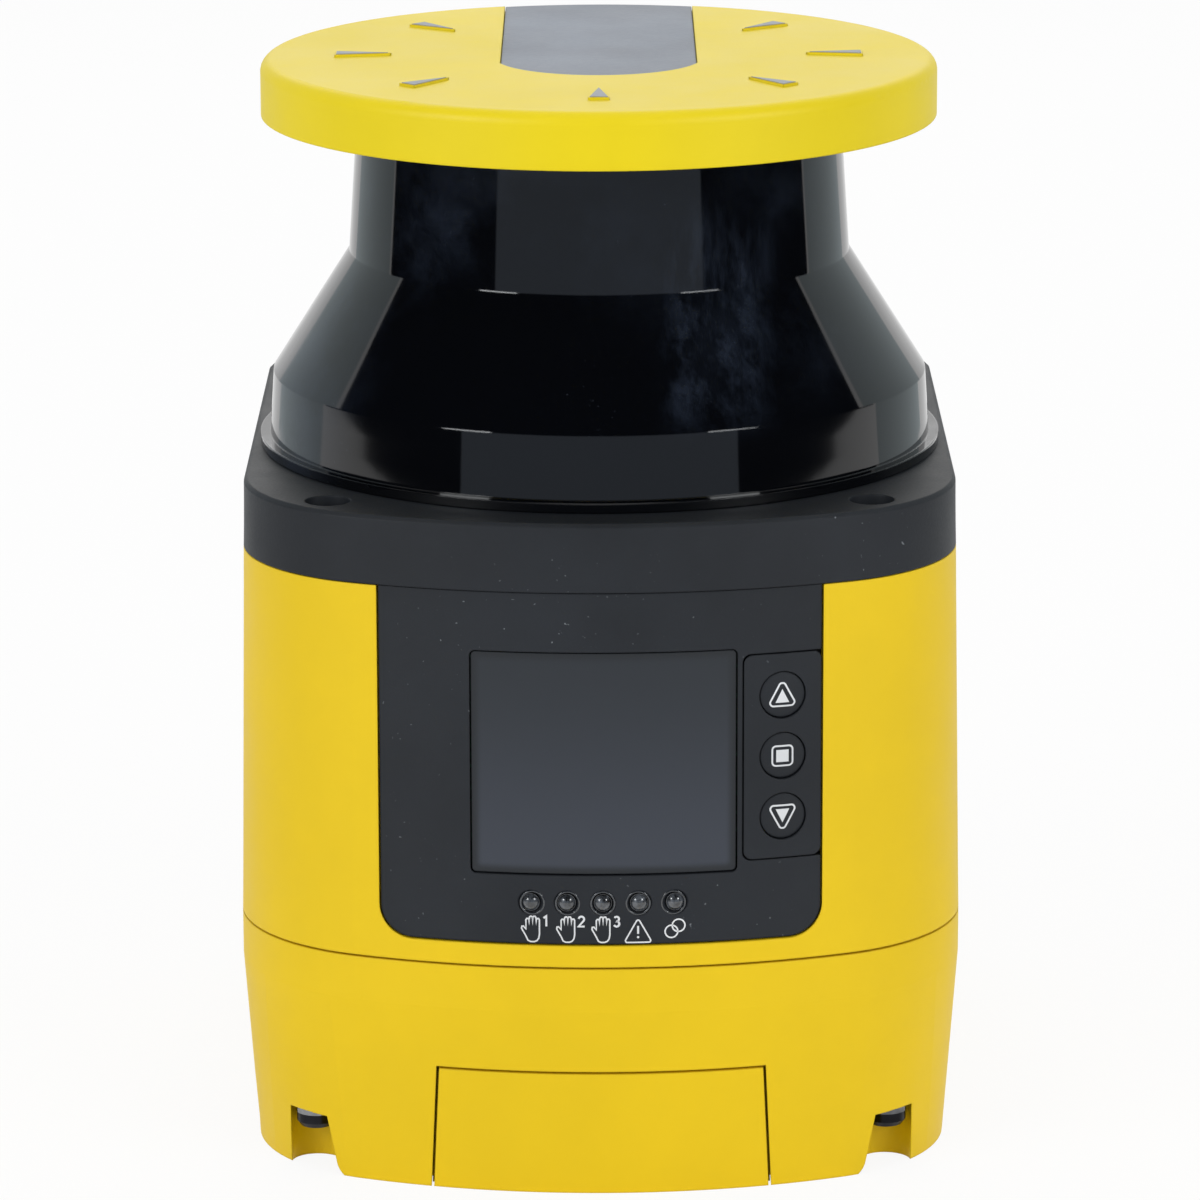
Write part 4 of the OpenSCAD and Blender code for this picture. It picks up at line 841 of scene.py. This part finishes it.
class SCANNER_OT_stage(ScannerStep, bpy.types.Operator):
    """Sets the floor, the soft lamps, the surroundings and the camera"""
    bl_idname = "scanner.stage"
    bl_label = "Stage"

    def execute(self, context):
        scene = context.scene
        sizes = scene.scanner_stage
        scene.view_settings.view_transform = "Standard"
        self.world(scene, sizes.fill)
        self.floor()
        self.cards()
        for name, place, size, power in LAMPS:
            light = bpy.data.lights.new(name, "AREA")
            light.size, light.energy = size, power * sizes.lamp_power
            lamp = bpy.data.objects.new(name, light)
            scene.collection.objects.link(lamp)
            lamp.location = place
            lamp.rotation_mode = "QUATERNION"
            aim = Vector(LAMP_AIM) - Vector(place)
            lamp.rotation_quaternion = aim.to_track_quat("-Z", "Y")
        camera = bpy.data.objects.new("camera", bpy.data.cameras.new("camera"))
        scene.collection.objects.link(camera)
        camera.data.lens, camera.data.sensor_width = sizes.focal, 36.0
        camera.data.clip_start, camera.data.clip_end = 0.01, 20
        camera.matrix_world = (Matrix.Translation((0, -sizes.distance, sizes.height))
                               @ Matrix.Rotation(math.pi / 2 - sizes.tilt, 4, "X")
                               @ Matrix.Rotation(sizes.roll, 4, "Z"))
        scene.camera = camera
        return {"FINISHED"}

    @staticmethod
    def seen(graph):
        """1 where the camera, a reflection or a clear piece sees the background."""
        path = graph.node("ShaderNodeLightPath")
        camera, glossy, through = (Value(graph, path.outputs[k]) for k in (
            "Is Camera Ray", "Is Glossy Ray", "Is Transmission Ray"))
        return camera.largest(glossy).largest(through)

    def world(self, scene, fill):
        world = scene.world or bpy.data.worlds.new("surroundings")
        scene.world = world
        world.use_nodes = True
        world.node_tree.nodes.clear()
        graph = Graph(world.node_tree)
        strength = self.seen(graph) * (1 - fill) + fill
        sky = graph.out("ShaderNodeBackground", 0, {}, {"Color": (1, 1, 1, 1),
                                                        "Strength": strength})
        graph.node("ShaderNodeOutputWorld", {}, {"Surface": sky})

    def floor(self):
        shape = bmesh.new()
        bmesh.ops.create_grid(shape, x_segments=2, y_segments=2, size=6)
        f = Finish("floor_sheet")
        f.set(Base_Color=f.blend(f.noise(3), (0.86, 0.86, 0.86, 1), (0.9, 0.9, 0.9, 1)),
              Roughness=0.9)
        mixed = f.out("ShaderNodeMixShader", 0, {}, {
            0: self.seen(f) * 0.9, 1: f.shader.outputs[0], 2: f.glow((1, 1, 1, 1), 1.0)})
        f.feed(f.output.inputs["Surface"], mixed)
        link_mesh("floor", keep_shape("floor", shape), f.material)

    def cards(self):
        """Cards that only reflections see: grey, black, pale at the sides, and two soft boxes."""
        for name, (colour, strength, reach), sideways, upward in CARDS:
            f = Finish(name)
            f.feed(f.output.inputs["Surface"], f.glow(colour, strength))
            card = link_mesh(name, keep_shape(name, card_shape(reach, sideways, upward)),
                             f.material)
            card.visible_camera = card.visible_diffuse = card.visible_shadow = False
            card.visible_transmission = card.visible_volume_scatter = False


# each lamp with its place, size and power, and the point that they all face
LAMPS = (
    ("lamp_top", (0.0, -0.1, 1.1), 1.0, 2.2),
    ("lamp_left", (-0.9, -0.8, 0.5), 0.7, 5.2),
    ("lamp_right", (0.9, -0.8, 0.5), 0.7, 4.8),
    ("lamp_back", (0.0, 0.9, 0.7), 0.8, 2.0),
)
LAMP_AIM = (0, 0, 0.08)
# colour, strength and distance of a card
GREY_CARD = ((0.75, 0.85, 1, 1), 0.5, 0.8)
DARK_CARD = ((0.5, 0.6, 0.8, 1), 0.01, 0.8)
PALE_CARD = ((0.86, 0.97, 1, 1), 0.68, 0.5)
SOFT_BOX = ((0.95, 0.98, 1, 1), 11.0, 0.74)
# each card with the angles that it spans sideways and upward, in degrees
CARDS = (
    ("card_front", GREY_CARD, (-47, 47), (-14, 12)),
    ("card_left", DARK_CARD, (-108, -47), (-14, 80)),
    ("card_right", DARK_CARD, (47, 108), (-14, 80)),
    ("card_upper", DARK_CARD, (-47, 47), (12, 80)),
    ("card_far_left", PALE_CARD, (-146, -108), (-14, 50)),
    ("card_far_right", PALE_CARD, (108, 146), (-14, 50)),
    ("soft_box_left", SOFT_BOX, (-56, -38), (16, 30)),
    ("soft_box_right", SOFT_BOX, (38, 56), (16, 30)),
)
CARD_MIDDLE, CARD_FOOT = 0.13, 0.004


def card_shape(reach, sideways, upward, columns=12, lines=8):
    """A piece of a sphere round the object, kept above the floor."""
    shape, rows = bmesh.new(), []
    for k in range(columns + 1):
        side = math.radians(sideways[0] + (sideways[1] - sideways[0]) * k / columns)
        row = []
        for m in range(lines + 1):
            up = math.radians(upward[0] + (upward[1] - upward[0]) * m / lines)
            row.append(shape.verts.new((
                reach * math.sin(side) * math.cos(up),
                -reach * math.cos(side) * math.cos(up),
                max(CARD_MIDDLE + reach * math.sin(up), CARD_FOOT))))
        rows.append(row)
    for a, b in zip(rows, rows[1:]):
        for m in range(lines):
            shape.faces.new((a[m], b[m], b[m + 1], a[m + 1]))
    return shape


STEPS = (SCANNER_OT_finishes, SCANNER_OT_key_signs, SCANNER_OT_lamp_signs, SCANNER_OT_lamp_rims,
         SCANNER_OT_threads, SCANNER_OT_insert_threads, SCANNER_OT_stage)


class SCANNER_PT_panel(bpy.types.Panel):
    """Lists the building steps and their sizes"""
    bl_idname = "SCANNER_PT_panel"
    bl_label = "Safety laser scanner"
    bl_space_type = "VIEW_3D"
    bl_region_type = "UI"
    bl_category = "Scanner"

    def draw(self, context):
        for group in SETTINGS:
            box = self.layout.box()
            for name in group[1].__annotations__:
                box.prop(getattr(context.scene, group[0]), name)
        for step in STEPS:
            self.layout.operator(step.bl_idname)


SETTINGS = (("scanner_colours", ScannerColours), ("scanner_signs", ScannerSigns),
            ("scanner_fittings", ScannerFittings), ("scanner_stage", ScannerStage))
CLASSES = tuple(group for _, group in SETTINGS) + STEPS + (SCANNER_PT_panel,)


def register():
    for one in CLASSES:
        bpy.utils.register_class(one)
    for name, group in SETTINGS:
        setattr(bpy.types.Scene, name, bpy.props.PointerProperty(type=group))


def unregister():
    for name, _ in SETTINGS:
        delattr(bpy.types.Scene, name)
    for one in reversed(CLASSES):
        bpy.utils.unregister_class(one)


def main():
    register()
    for step in STEPS:
        family, name = step.bl_idname.split(".")
        getattr(getattr(bpy.ops, family), name)()


if __name__ == "__main__":
    main()
